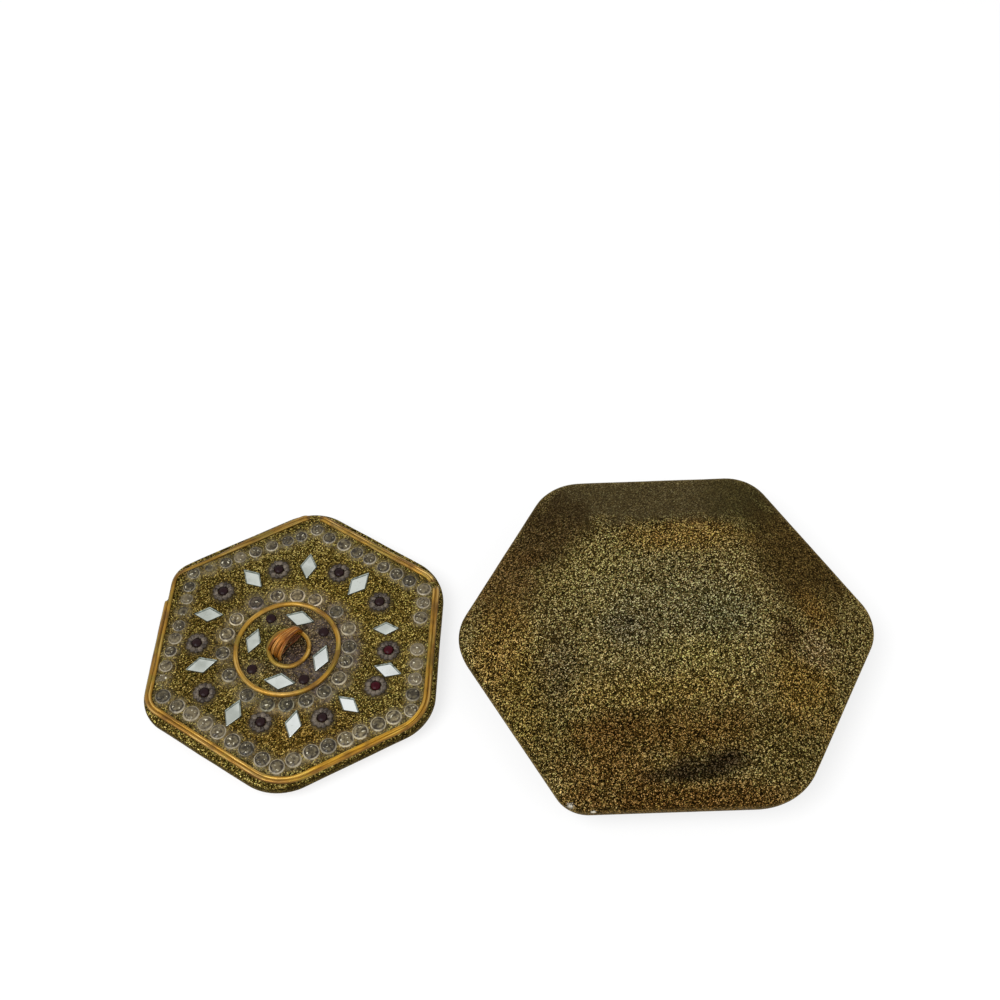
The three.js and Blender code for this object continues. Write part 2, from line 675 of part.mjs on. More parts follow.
MEDALLION_BEAD_ANGLES.forEach((angle, i) => {
  const reach = medallionEdge - MEDALLION_BEAD_GAP - BEAD_RADIUS;
  const set = place(bead(), angle, reach, MEDALLION_X, MEDALLION_Y);
  lid.add(piece(`medallion_bead_${i + 1}`, set, 'bead'));
});

const baseReach = reachAlongX(level(BELLY_APOTHEM, BELLY_CORNER, 0), 0);
const lidReach = reachAlongX(level(lidApothem, LID_CORNER, 0), SIXTH / 2 + degrees(LID_TURN));
lid.rotation.z = degrees(LID_TURN);
lid.position.set(-baseReach - PIECES_APART - lidReach, LID_FROM_BASE_Y, 0);

// The origin lies on the ground, in the middle of the space that both pieces take.
const trinketBox = new THREE.Group();
trinketBox.add(base, lid);
const middle = new THREE.Box3().setFromObject(trinketBox, true).getCenter(new THREE.Vector3());
base.position.x -= middle.x;
base.position.y -= middle.y;
lid.position.x -= middle.x;
lid.position.y -= middle.y;

export default trinketBox;
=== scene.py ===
# Looks of the trinket box: lac full of glitter, gilt wires, clear stones, rosettes and mirrors.
# Metres, +Z up. The base stands upside down at +X, and its lid lies at -X.
import math
import random

import bpy
import numpy as np
from mathutils import Matrix, Vector, noise


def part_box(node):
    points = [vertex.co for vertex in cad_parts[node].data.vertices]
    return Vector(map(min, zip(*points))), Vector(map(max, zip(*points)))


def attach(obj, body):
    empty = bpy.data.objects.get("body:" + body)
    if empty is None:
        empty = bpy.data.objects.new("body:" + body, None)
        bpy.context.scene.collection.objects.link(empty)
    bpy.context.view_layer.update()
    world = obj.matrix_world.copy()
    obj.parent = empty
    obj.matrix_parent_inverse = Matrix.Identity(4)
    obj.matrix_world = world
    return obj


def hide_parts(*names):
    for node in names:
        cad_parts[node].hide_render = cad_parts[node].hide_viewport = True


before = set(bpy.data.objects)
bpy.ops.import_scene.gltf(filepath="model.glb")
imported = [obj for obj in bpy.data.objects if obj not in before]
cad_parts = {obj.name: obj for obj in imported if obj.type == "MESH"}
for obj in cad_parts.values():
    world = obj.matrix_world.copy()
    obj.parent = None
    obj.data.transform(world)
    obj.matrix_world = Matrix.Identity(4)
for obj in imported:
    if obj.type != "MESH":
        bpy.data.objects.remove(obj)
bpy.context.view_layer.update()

MM = 0.001
SIDES = 6
SIXTH = math.pi / 3

# Sizes of the base, from the belly up to the foot and down to the mouth
BELLY_CORNER = 11.8 * MM
BELLY_HEIGHT = 10.8 * MM
BELLY_EDGE = 1.5 * MM
BELLY_FOLD = 3.0 * MM
BASE_CORNER_SHARES = (0.95, 0.85, 1.0, 1.0, 0.6, 1.15)
BASE_DRIFT = [drift * MM for drift in (-0.15, -0.1, 0.0, -0.25, -0.45, 0.0)]
FOOT_APOTHEM = 23.8 * MM
FOOT_CORNER = 8.2 * MM
FOOT_FOLD = 2.6 * MM
SHOULDER_FULLNESS = 4.6 * MM
MOUTH_APOTHEM = 28.5 * MM
MOUTH_CORNER = 10.6 * MM
RIM_WIDTH = 3.9 * MM
WOOD_WALL = 3.0 * MM
FLOOR_THICKNESS = 3.0 * MM
FLOOR_FILLET = 1.2 * MM
FLOOR_FILLET_DROP = 0.56 * MM
SHOULDER_WALL = 3.6 * MM
CAVITY_BULGE = 1.2 * MM
LAC = 0.9 * MM
BOND_GAP = 0.1 * MM
LAC_EDGE_LIFT = 0.4 * MM

# Sizes of the lid
LID_TURN = math.radians(-4)
LID_CORNER = 12.4 * MM
LID_CORNERS = [share * LID_CORNER for share in (0.95, 1.0, 0.5, 0.72, 1.0, 0.9)]
LID_DRIFT = [drift * MM for drift in (-0.2, -0.4, -0.1, 0.0, -0.3, 0.1)]
LID_STEP = 0.7 * MM
LID_STEP_PLACE = 9.7 * MM
LID_CLEARANCE = 0.5 * MM
LOCATING_DEPTH = 2.2 * MM
LID_WOOD = 2.4 * MM
LID_SIDE_LAC = 1.7 * MM
FACE_INSET = 0.8 * MM
SKIRT_DROP = 1.4 * MM
SKIRT_RETURN = 0.9 * MM
BORDER_WIRE = 0.86 * MM
BORDER_WIRE_STEP = 0.78 * MM
BORDER_WIRE_DIP = 0.75 * MM
BORDER_APOTHEM = 30.4 * MM
BORDER_DRIFT = [drift * MM for drift in (-0.7, -0.55, 0.2, -0.7, 0.15, 0.05)]
BORDER_CORNERS = [radius * MM for radius in (6.0, 5.5, 3.0, 4.5, 10.8, 9.5)]
OUTER_STRAND_START = math.radians(163)
OUTER_STRAND_END = math.radians(140)
MEDALLION_WIRE = 1.16 * MM
MEDALLION_RADIUS = 11.6 * MM
KNOB_RING_WIRE = 1.05 * MM
KNOB_RING_RADIUS = 4.6 * MM
KNOB_RING_DRIFT = (0.4 * MM, 0.1 * MM)
STONE_SINK = 0.3 * MM
STONE_LINE_CORNERS = [  # reach from the middle of the lid in mm, turn in degrees
    (31.5, 27.5), (30.2, 88), (31.5, 147), (32.1, 205.5), (30.8, 269.5), (32.1, 329.5)]
STONE_RADII = [radius * MM for radius in (1.68, 1.58, 1.56, 1.86, 1.86, 1.68)]
STONES_IN_ROW = (8, 8, 9, 8, 8, 8)
STONE_ROW_START = (0, 0, 0, 0.45, 0, 0)
MISSING_STONE = (5, 5)
DROWNED_STONES = [(1, 7), (2, 3), (2, 8)]
DROWNED = 0.25 * MM
MEDALLION_STONE_RADIUS = 1.80 * MM
MEDALLION_STONES = [  # turn in degrees, reach from the middle of the medallion in mm
    (4, 14.0), (23, 14.4), (45, 14.1), (70, 13.8), (88, 13.9), (107, 14.3), (127, 14.7), (150, 14.7),
    (167, 14.6), (186, 14.5), (210, 13.9), (238, 13.9), (260, 14.2), (277, 14.0), (295, 14.0), (313, 14.2),
    (331, 14.4), (349, 13.9)]
MEDALLION_SMEARS = [  # place from the middle of the medallion and radius, in mm, and strength
    (6.0, -6.5, 2.5, 0.8), (8.5, 1.0, 1.8, 0.7), (5.5, 6.5, 1.2, 0.6),
    (-1.5, 9.5, 1.6, 0.55), (1.0, -9.0, 2.0, 0.6), (2.0, -2.5, 1.4, 0.5)]
KNOB_DIRECTION = math.radians(50)
KNOB_DRIFT = (-0.2 * MM, 1.5 * MM)
MIRROR_GROWTH = [  # the four mirrors of the medallion, then the ten between the rosettes
    1.15, 1.07, 1.2, 1.14,
    1.16, 1.13, 1.12, 1.20, 1.16, 1.12, 1.03, 1.08, 0.98, 1.26]


def middle(node):
    """Centre of a CAD node's box."""
    low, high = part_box(node)
    return (low + high) / 2


base_middle = middle("base_lac_coat")
lid_middle = middle("lid_lac_coat")
medallion_middle = middle("medallion_ring")
belly_apothem = (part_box("base_lac_coat")[1].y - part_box("base_lac_coat")[0].y) / 2
foot_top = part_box("base_lac_coat")[1].z
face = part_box("lid_lac_coat")[1].z
lid_apothem = BORDER_APOTHEM + 2.1 * MM
to_base = Matrix.Translation((base_middle.x, base_middle.y, 0))
to_lid = Matrix.Translation((lid_middle.x, lid_middle.y, 0)) @ Matrix.Rotation(LID_TURN, 4, "Z")
from_lid = to_lid.inverted()
corner_up = Matrix.Rotation(SIXTH / 2, 4, "Z")


# Node trees

class Value:
    """A number that comes out of a node. Python's operators on it add Math nodes."""

    def __init__(self, graph, socket):
        self.graph = graph
        self.socket = socket

    def __add__(self, other):
        return self.graph.math("ADD", self, other)

    def __radd__(self, other):
        return self.graph.math("ADD", other, self)

    def __sub__(self, other):
        return self.graph.math("SUBTRACT", self, other)

    def __rsub__(self, other):
        return self.graph.math("SUBTRACT", other, self)

    def __mul__(self, other):
        return self.graph.math("MULTIPLY", self, other)

    def __rmul__(self, other):
        return self.graph.math("MULTIPLY", other, self)

    def __truediv__(self, other):
        return self.graph.math("DIVIDE", self, other)

    def __rtruediv__(self, other):
        return self.graph.math("DIVIDE", other, self)


class Made:
    """A node that has been added. Its outputs are taken by name or number."""

    def __init__(self, graph, node):
        self.graph = graph
        self.node = node

    def __getitem__(self, key):
        return Value(self.graph, self.node.outputs[key])


class Graph:
    """Builds one node tree."""

    def __init__(self, tree):
        self.tree = tree
        tree.nodes.clear()

    def node(self, kind, settings=None, sockets=None):
        """Adds a node: its settings come first, then the values or links of its sockets."""
        made = self.tree.nodes.new(kind)
        for name, value in (settings or {}).items():
            if name == "stops":
                self.stops(made.color_ramp, value)
            else:
                setattr(made, name, value)
        for key, value in (sockets or {}).items():
            if isinstance(value, Value):
                self.tree.links.new(value.socket, made.inputs[key])
            else:
                made.inputs[key].default_value = value
        return Made(self, made)

    def stops(self, ramp, stops):
        while len(ramp.elements) < len(stops):
            ramp.elements.new(0.5)
        for element, (place, colour) in zip(ramp.elements, stops):
            element.position = place
            element.color = colour

    def math(self, operation, *values):
        return self.node("ShaderNodeMath", {"operation": operation}, dict(enumerate(values)))[0]

    def clamp(self, value):
        return self.node("ShaderNodeClamp", {}, {"Value": value})[0]

    def vector(self, operation, *values):
        return self.node("ShaderNodeVectorMath", {"operation": operation}, dict(enumerate(values)))[0]

    def scaled(self, vector, size):
        sockets = {0: vector, "Scale": size}
        return self.node("ShaderNodeVectorMath", {"operation": "SCALE"}, sockets)[0]

    def length(self, vector):
        return self.node("ShaderNodeVectorMath", {"operation": "LENGTH"}, {0: vector})["Value"]

    def mix(self, share, first, second, blend="MIX"):
        settings = {"data_type": "RGBA", "blend_type": blend}
        return self.node("ShaderNodeMix", settings, {0: share, 6: first, 7: second})[2]

    def tinted(self, colour, tint):
        return self.mix(1.0, colour, tint, "MULTIPLY")

    def noise(self, place, scale, detail=2.0, roughness=0.5):
        sockets = {"Vector": place, "Scale": scale, "Detail": detail, "Roughness": roughness}
        return self.node("ShaderNodeTexNoise", {}, sockets)[0]

    def ramp(self, value, low, high):
        """Runs smoothly from 0 at low to 1 at high."""
        settings = {"interpolation_type": "SMOOTHSTEP"}
        sockets = {"Value": value, "From Min": low, "From Max": high}
        return self.node("ShaderNodeMapRange", settings, sockets)[0]

    def layer(self, under, over, strength, value, low, high):
        """Lays one colour over another where a value runs from low to high."""
        return self.mix(self.ramp(value, low, high) * strength, under, over)

    def bump(self, height, distance, strength=1.0, normal=None):
        sockets = {"Height": height, "Distance": distance, "Strength": strength}
        if normal is not None:
            sockets["Normal"] = normal
        return self.node("ShaderNodeBump", {}, sockets)[0]

    def attribute(self, name, output="Fac"):
        return self.node("ShaderNodeAttribute", {"attribute_name": name})[output]

    def stored(self, geometry, name, value, kind="FLOAT", domain="POINT"):
        """Geometry with a named attribute on it."""
        settings = {"data_type": kind, "domain": domain}
        sockets = {"Geometry": geometry, "Name": name, "Value": value}
        return self.node("GeometryNodeStoreNamedAttribute", settings, sockets)[0]


def material(name):
    """A new material and the graph of its nodes."""
    made = bpy.data.materials.new(name)
    made.use_nodes = True
    return made, Graph(made.node_tree)


def finish_surface(graph, **sockets):
    """Ends a material in one principled shader. Socket names are written with underscores."""
    named = {name.replace("_", " "): value for name, value in sockets.items()}
    shader = graph.node("ShaderNodeBsdfPrincipled", {}, named)
    graph.node("ShaderNodeOutputMaterial", {}, {"Surface": shader[0]})


def surface(name, centre=(0, 0, 0)):
    """A new material, its graph, and Object coordinates in millimetres from a centre."""
    made, graph = material(name)
    place = graph.node("ShaderNodeTexCoord")["Object"]
    return made, graph, graph.scaled(graph.vector("SUBTRACT", place, tuple(centre)), 1 / MM)


# Materials

def glitter(graph, place, grain, spread):
    """Flakes of glitter in lac: brightness of the flake around a middle of 1, chance of a hue, and normal."""
    coarse = graph.node("ShaderNodeTexVoronoi", {}, {"Vector": place, "Scale": 1 / grain})
    fine = graph.node("ShaderNodeTexVoronoi", {}, {"Vector": place, "Scale": 1.9 / grain})
    chance = graph.node("ShaderNodeSeparateColor", {}, {0: coarse["Color"]})
    fine_chance = graph.node("ShaderNodeSeparateColor", {}, {0: fine["Color"]})
    odds = chance[0] * 1.5 + chance[1] + fine_chance[0] + fine_chance[1] * 0.5 - 2.0
    between = graph.ramp(coarse["Distance"], 0.38, 0.7)
    level = graph.math("EXPONENT", odds * spread - between * 0.9)
    tilt = graph.scaled(graph.vector("SUBTRACT", coarse["Color"], (0.5, 0.5, 0.5)), 0.8)
    normal = graph.node("ShaderNodeNewGeometry")["Normal"]
    leaning = graph.vector("NORMALIZE", graph.vector("ADD", normal, tilt))
    return {"level": level, "hue": chance[2], "normal": leaning}


def patch(graph, place, ragged, centre, size, softness):
    """A soft oval spot with a ragged edge, 1 inside and 0 outside. Centre and size in millimetres."""
    offset = graph.vector("SUBTRACT", place, centre)
    reach = graph.length(graph.vector("DIVIDE", offset, size)) + ragged
    return 1 - graph.ramp(reach, 1 - softness, 1 + softness)


def spotted(graph, place, spots):
    """Tint in soft spots, white between them. Their places are in millimetres from the middle of the lid."""
    from_middle = graph.vector("SUBTRACT", place, tuple(to_lid.translation / MM))
    tone = (1, 1, 1, 1)
    for at, size, tint in spots:
        tone = graph.mix(patch(graph, from_middle, 0.0, at, size, 0.4), tone, tint)
    return tone


def lac_material(name, centre, grain, spread, median, ground, patches, chips=(), haze=False):
    """Dark lac full of gold glitter, tinted in patches, with chips down to pale ground, painted shade low
    down and, on the lid, round the rosettes and mirrors, and a painted grazing sheen where a patch hides
    glitter.
    """
    made, graph, place = surface(name, centre)
    flakes = glitter(graph, place, grain, spread)
    ragged = (graph.noise(place, 0.2, 4.0, 0.6) - 0.5) * 1.6
    tone = ground
    calm = 0.0
    for spot in patches:
        mask = patch(graph, place, ragged, spot["at"], spot["size"], spot["softness"])
        tone = graph.mix(mask * spot["strength"], tone, spot["tint"])
        if spot["calm"]:
            calm = mask * spot["calm"] + calm
    cloud = graph.noise(place, 0.13, 4.0, 0.6)
    # Painted shade: the lac is darkened low down, to a quarter at the bottom, below the base's belly and down
    # the lid's sides.
    low = graph.node("ShaderNodeSeparateXYZ", {}, {0: graph.node("ShaderNodeTexCoord")["Object"]})["Z"]
    dark, lit = (face - 0.8 * MM, face - 0.05 * MM) if haze else (7 * MM, 12 * MM)
    painted_low_shade = 0.25 + 0.75 * graph.ramp(low, dark, lit)
    level = flakes["level"] * median * (0.72 + cloud * 0.56) * painted_low_shade
    pale = graph.clamp(level * 1.4)
    hue = graph.mix(pale, (1.0, 0.74, 0.17, 1), (1.0, 0.92, 0.50, 1))
    hue = graph.layer(hue, (0.78, 0.92, 0.30, 1), 0.6, flakes["hue"], 0.6, 1.0)
    hue = graph.layer(hue, (1.0, 0.60, 0.15, 1), 0.45, flakes["hue"], 0.3, 0.0)
    hue = graph.tinted(hue, tone)
    colour = graph.scaled(hue, graph.math("MINIMUM", level, 0.85))
    # Painted grazing sheen and shade: where a patch asks for it, its glitter is hidden under a plain darker
    # tone.
    colour = graph.mix(calm, colour, graph.tinted(tone, (0.058, 0.044, 0.021, 1)))
    for at, size in chips:
        bare = patch(graph, place, flakes["hue"] * 0.5 - 0.25, at, size, 0.3)
        colour = graph.mix(bare, colour, (0.62, 0.59, 0.50, 1))
    metal = 0.45
    if haze:
        # Painted shade: the lac is darkened round the rosettes and mirrors that stand on it.
        grime = graph.clamp(graph.attribute("grime") * (0.45 + cloud * 0.6))
        colour = graph.mix(grime, colour, (0.048, 0.036, 0.018, 1))
        blotch = graph.noise(place, 0.9, 4.0, 0.65)
        veil = graph.clamp(graph.attribute("haze") * (0.3 + blotch * 0.95))
        grey = graph.mix(graph.ramp(blotch, 0.3, 0.7), (0.065, 0.058, 0.050, 1), (0.29, 0.28, 0.26, 1))
        colour = graph.mix(veil * 0.68, colour, graph.tinted(grey, tone))
        metal = 0.45 * (1 - veil)
    uneven = graph.bump(graph.noise(place, 0.7, 3.0), 0.00008, 0.5, flakes["normal"])
    finish_surface(
        graph, Base_Color=colour, Metallic=metal, Roughness=0.36 + graph.noise(place, 0.3, 2.0) * 0.16,
        Specular_IOR_Level=0.02, Specular_Tint=(1.0, 0.78, 0.40, 1), Normal=uneven)
    return made


def wood_material():
    """Plain wood with a calm grain, fine pores and darker clouds."""
    made, graph, place = surface("bare_wood")
    stretched = graph.vector("MULTIPLY", place, (0.12, 1.0, 0.9))
    sockets = {"Vector": stretched, "Scale": 0.12, "Detail": 2.0}
    wander = graph.scaled(graph.node("ShaderNodeTexNoise", {}, sockets)["Color"], 5.0)
    warped = graph.vector("ADD", stretched, wander)
    rings = graph.node("ShaderNodeTexWave", {"bands_direction": "Y"}, {
        "Vector": warped, "Scale": 0.27, "Distortion": 3.0, "Detail": 3.0, "Detail Scale": 0.12})["Fac"]
    uneven = graph.ramp(graph.noise(stretched, 0.22, 3.0), 0.35, 0.65) * 0.75
    pores = graph.noise(graph.vector("MULTIPLY", place, (0.6, 6.0, 6.0)), 1.0, 3.0, 0.6)
    wood = graph.mix(rings * uneven, (0.46, 0.28, 0.135, 1), (0.33, 0.18, 0.075, 1))
    wood = graph.layer(wood, (0.16, 0.08, 0.03, 1), 0.5, pores, 0.55, 0.75)
    wood = graph.layer(wood, (0.20, 0.12, 0.06, 1), 0.3, graph.noise(place, 0.07), 0.5, 0.7)
    finish_surface(
        graph, Base_Color=wood, Roughness=0.62 + pores * 0.2, Specular_IOR_Level=0.3,
        Normal=graph.bump(pores, 0.00006, 0.6))
    return made


def wire_material(name, bright, deep, wear_and_highlight, tarnish=0.7, spots=()):
    """Wire with a fine drawn grain, pale streaks of wear and painted highlight, dark streaks of painted
    shade, and dark low down, where lac has run onto it and as painted shade on its sides.
    """
    made, graph, place = surface(name)
    height = graph.node("ShaderNodeSeparateXYZ", {}, {0: place})["Z"]
    along = graph.attribute("along")
    around = graph.attribute("around", "Vector")

    def along_wire(stretch, turns):
        lengthwise = graph.node("ShaderNodeCombineXYZ", {}, {0: 0.0, 1: 0.0, 2: along * stretch})[0]
        return graph.vector("ADD", graph.scaled(around, turns), lengthwise)

    drawn = graph.noise(along_wire(0.4, 4.0), 1.0, 2.0)
    streak = graph.noise(along_wire(0.12, 0.9), 1.0, 1.0)
    dull = graph.ramp(graph.noise(place, 0.3, 3.0), 0.46, 0.68)
    olive = graph.ramp(graph.noise(place, 0.14, 3.0), 0.50, 0.60)
    # Painted shade: the wire darkens low down on its sides, where lac has also run onto it.
    low = graph.ramp(height, face / MM + 0.64, face / MM + 0.28)
    colour = graph.mix(graph.clamp(dull * 0.5 + (1 - drawn) * 0.6), bright, deep)
    colour = graph.mix(olive * tarnish, colour, (0.225, 0.16, 0.020, 1))
    # Streaks that follow the wire round: pale ones are wear and painted highlight, dark ones painted shade.
    colour = graph.layer(colour, wear_and_highlight, 0.7, streak, 0.53, 0.64)
    colour = graph.layer(colour, deep, 0.7, streak, 0.46, 0.35)
    colour = graph.mix(low * 0.8, colour, deep)
    colour = graph.tinted(colour, spotted(graph, place, spots))
    finish_surface(
        graph, Base_Color=colour, Metallic=0.45, Roughness=0.34 + dull * 0.16, Specular_IOR_Level=0.3,
        Normal=graph.bump(drawn, 0.00004, 0.5))
    return made


# Middle of the painted reflection on the mirrors.
BRIGHTEST_MIRRORS = to_lid @ Vector((14 * MM, -16 * MM, 0))


def mirror_material():
    """Old silvering with small worn specks, and a painted reflection that brightens the mirrors near the
    lid's near right side.
    """
    made, graph, place = surface("looking_glass")
    cloud = graph.noise(place, 0.22, 3.0)
    specks = graph.ramp(graph.noise(place, 2.6, 3.0), 0.60, 0.74)
    silver = graph.mix(graph.ramp(cloud, 0.36, 0.62), (0.40, 0.425, 0.385, 1), (0.57, 0.60, 0.555, 1))
    from_brightest = graph.length(graph.vector("SUBTRACT", place, tuple(p / MM for p in BRIGHTEST_MIRRORS)))
    silver = graph.layer(silver, (0.84, 0.87, 0.86, 1), 0.75, from_brightest, 26.0, 8.0)
    finish_surface(
        graph, Base_Color=graph.mix(specks * 0.4, silver, (0.26, 0.27, 0.24, 1)), Metallic=0.96,
        Roughness=0.08 + cloud * 0.08, Normal=graph.bump(cloud, 0.00003, 0.4))
    return made


def bevel_material():
    """Ground bevel of a mirror, darker than its face."""
    made, graph, place = surface("mirror_bevel")
    wear = graph.noise(place, 1.4, 3.0)
    finish_surface(
        graph,
        Base_Color=graph.mix(graph.ramp(wear, 0.4, 0.7), (0.34, 0.38, 0.34, 1), (0.09, 0.105, 0.085, 1)),
        Metallic=0.8, Roughness=0.2)
    return made


def mirror_edge_material():
    """Dark cut edge of a mirror."""
    made, graph, place = surface("mirror_edge")
    finish_surface(
        graph,
        Base_Color=graph.mix(graph.noise(place, 1.2), (0.018, 0.022, 0.016, 1), (0.085, 0.098, 0.075, 1)),
        Metallic=0.2, Roughness=0.3, Specular_IOR_Level=0.2)
    return made


def stone_material():
    """Old clear stone: pale rim, darker inside with a star of facets painted lit and shaded, a painted glint,
    and cloudy where glue has crept in.
    """
    made, graph, place = surface("clear_stone")
    reach = graph.attribute("reach")
    tint = graph.attribute("tint")
    smear = graph.noise(place, 1.2, 3.0)
    patchy = graph.noise(place, 0.6, 2.0)
    # The star of facets is painted light and shade, bright and dark on alternate facets.
    star = graph.clamp(graph.attribute("star") * 0.8 + (smear - 0.5) * 2.8)
    colour = graph.mix(star, (0.024, 0.017, 0.008, 1), (0.125, 0.100, 0.050, 1))
    table_ring = graph.ramp(reach, 0.28, 0.48) * graph.ramp(reach, 0.72, 0.56)
    colour = graph.mix(table_ring * graph.clamp((smear - 0.40) * 3.6), colour, (0.20, 0.165, 0.093, 1))
    rim = graph.ramp(reach, 0.78, 0.92) * graph.clamp((patchy - 0.26) * 3.4)
    colour = graph.mix(rim * 0.95, colour, (0.52, 0.455, 0.325, 1))
    cloudy = graph.ramp(tint + (smear - 0.5) * 0.9, 0.55, 1.05)
    colour = graph.mix(cloudy * 0.6, colour, (0.155, 0.125, 0.074, 1))
    # Painted glint: a pale spark on some stones.
    painted_glint = graph.ramp(graph.noise(place, 1.7, 1.0), 0.655, 0.70) * graph.ramp(reach, 0.75, 0.5)
    colour = graph.scaled(colour, 0.50 + tint * 0.76)
    colour = graph.tinted(colour, spotted(graph, place, STONE_SPOTS))
    colour = graph.mix(painted_glint, colour, (0.72, 0.67, 0.50, 1))
    finish_surface(
        graph, Base_Color=colour, Roughness=0.16 + smear * 0.14, Specular_IOR_Level=0.16,
        Transmission_Weight=0.12, IOR=1.49, Coat_Weight=0.14, Coat_Roughness=0.04)
    return made


def petal_material():
    """Purplish grey glass with pale streaks, dark at the bead and again towards the outer end."""
    made, graph, place = surface("petal_glass")
    streak = graph.ramp(graph.noise(place, 2.2, 3.0) + graph.attribute("tint") * 0.35, 0.45, 0.88)
    reach = graph.attribute("reach")
    colour = graph.mix(streak, (0.026, 0.019, 0.015, 1), (0.160, 0.130, 0.098, 1))
    colour = graph.layer(colour, (0.024, 0.018, 0.012, 1), 0.66, reach, 0.35, 0.85)
    finish_surface(
        graph, Base_Color=graph.mix(graph.ramp(reach, 0.0, 0.16), (0.018, 0.012, 0.012, 1), colour),
        Roughness=0.2 + streak * 0.16, Specular_IOR_Level=0.12, Transmission_Weight=0.03, IOR=1.5)
    return made


def bead_material(name, deep, light):
    """Cloudy dark glass."""
    made, graph, place = surface(name)
    cloud = graph.noise(place, 1.3, 3.0)
    finish_surface(
        graph, Base_Color=graph.mix(cloud, deep, light), Roughness=0.2 + cloud * 0.16,
        Specular_IOR_Level=0.08, IOR=1.5, Normal=graph.bump(cloud, 0.00005, 0.4))
    return made


def coloured(at, size, tint, strength=0.9, softness=0.5, calm=0.0):
    """A patch of colour. Strength is how far it tints, softness that of its edge, and the last number hides
    glitter under a plain darker tone, a painted grazing sheen and shade.
    """
    return {"at": at, "size": size, "tint": tint, "strength": strength, "softness": softness, "calm": calm}


# Patches of colour on the base, from the far side to the near side, in millimetres from the base's middle and
# from the floor
BASE_PATCHES = [
    coloured((0, -1, 20), (25, 24, 12), (0.95, 0.85, 0.77, 1), strength=1.0, softness=0.2),
    # Patches that hide glitter, here on the far and right slopes, are painted shade and grazing sheen.
    coloured((0, 33, 14), (30, 9.5, 20), (0.56, 0.54, 0.60, 1), calm=0.62, softness=0.35),
    coloured((22, 31, 14), (9, 10, 20), (0.38, 0.39, 0.32, 1), calm=0.15),
    coloured((-26, 24, 14), (10, 13, 20), (0.27, 0.195, 0.175, 1)),
    coloured((-36, 12, 14), (8, 11, 20), (0.55, 0.37, 0.29, 1), strength=0.8),
    coloured((31, 16, 14), (10, 16, 20), (0.32, 0.22, 0.14, 1), calm=0.1),
    coloured((5, 19.5, 20), (13, 4, 9), (1.04, 0.74, 0.43, 1), strength=0.75),
    coloured((-14, 8, 20), (9, 11, 9), (0.92, 0.84, 0.66, 1), strength=0.7),
    coloured((0, 2, 20), (14, 9, 9), (0.88, 0.85, 0.92, 1), softness=0.8),
    coloured((-9, -3, 20), (5, 4, 9), (0.66, 0.64, 0.80, 1), softness=0.8),
    coloured((12, -1, 20), (6, 5, 9), (0.68, 0.70, 0.76, 1), softness=0.8),
    coloured((6, -11, 20), (8, 4, 9), (1.06, 0.98, 0.66, 1), softness=0.9, strength=0.6),
    coloured((-3, -19, 20), (17, 4, 9), (0.96, 0.74, 0.44, 1), softness=0.8, strength=0.75),
    coloured((-36, -5, 14), (6, 12, 20), (0.84, 0.61, 0.38, 1), strength=0.85),
    coloured((-31, -18, 14), (6, 11, 20), (0.62, 0.50, 0.29, 1), strength=0.8),
    coloured((-24, -11, 15), (4, 8, 20), (0.44, 0.39, 0.42, 1), strength=0.8, softness=0.8),
    coloured((-24, -27, 14), (5, 5, 20), (0.44, 0.42, 0.32, 1), strength=0.8, softness=0.8),
    coloured((-1, -27, 14), (24, 4.5, 20), (0.50, 0.33, 0.19, 1), softness=0.7),
    coloured((-13, -26, 14), (5, 3, 20), (0.41, 0.26, 0.16, 1), softness=0.8),
    coloured((-14, -34, 14), (11, 5, 20), (0.56, 0.37, 0.23, 1), softness=0.7),
    coloured((2, -40, 10), (26, 3.5, 20), (0.46, 0.27, 0.15, 1), softness=0.7),
    coloured((21, -30, 14), (6, 6, 20), (0.64, 0.54, 0.39, 1), softness=0.7),
    coloured((27, -17, 14), (7, 8, 20), (0.86, 0.62, 0.34, 1), softness=0.7),
    coloured((32, 0, 15), (3.5, 4, 20), (0.80, 0.52, 0.29, 1), softness=0.8),
    coloured((31, -9, 15), (4.5, 3.5, 20), (0.98, 0.82, 0.86, 1), softness=0.6),
    coloured((25, -6, 15), (2.5, 3, 20), (0.40, 0.29, 0.23, 1), softness=0.8),
    coloured((-1.5, -35.2, 14), (6, 1.3, 20), (0.13, 0.095, 0.10, 1), softness=0.7),
    coloured((4.5, -34.0, 14), (7, 2.1, 20), (0.10, 0.075, 0.085, 1), softness=0.7),
    coloured((10, -32.6, 14), (5.5, 1.9, 20), (0.11, 0.08, 0.09, 1), softness=0.7),
    coloured((-8.4, -2.1, 20), (0.9, 0.7, 9), (0.09, 0.08, 0.08, 1), softness=0.4),
]

# Place and size of small chips out of the lac at the base's near left corner
BASE_CHIPS = [
    ((-22.6, -39.2, 11.0), (1.1, 0.8, 0.9)),
    ((-18.4, -40.5, 10.6), (0.6, 0.6, 0.6)),
]

# The same patches for the lid, in millimetres from the middle of the lid
LID_PATCHES = [
    coloured((10, 12, 0), (12, 10, 20), (1.00, 0.82, 0.42, 1), softness=0.7),
    coloured((-20, 0, 0), (10, 19, 20), (0.72, 0.58, 0.33, 1), softness=0.7),
    coloured((22, 0, 0), (7, 13, 20), (0.96, 0.81, 0.47, 1), softness=0.7),
    coloured((2, -22, 0), (14, 6, 20), (0.88, 0.64, 0.34, 1), softness=0.7),
    coloured((2, -2, 0), (12, 12, 20), (0.50, 0.41, 0.52, 1), softness=0.4, strength=0.8),
    coloured((-7, 1, 0), (4, 6, 20), (0.80, 0.74, 0.46, 1), softness=0.6),
    coloured((1.0, -3.0, 0), (3.2, 2.8, 20), (0.42, 0.32, 0.42, 1), softness=0.5),
]

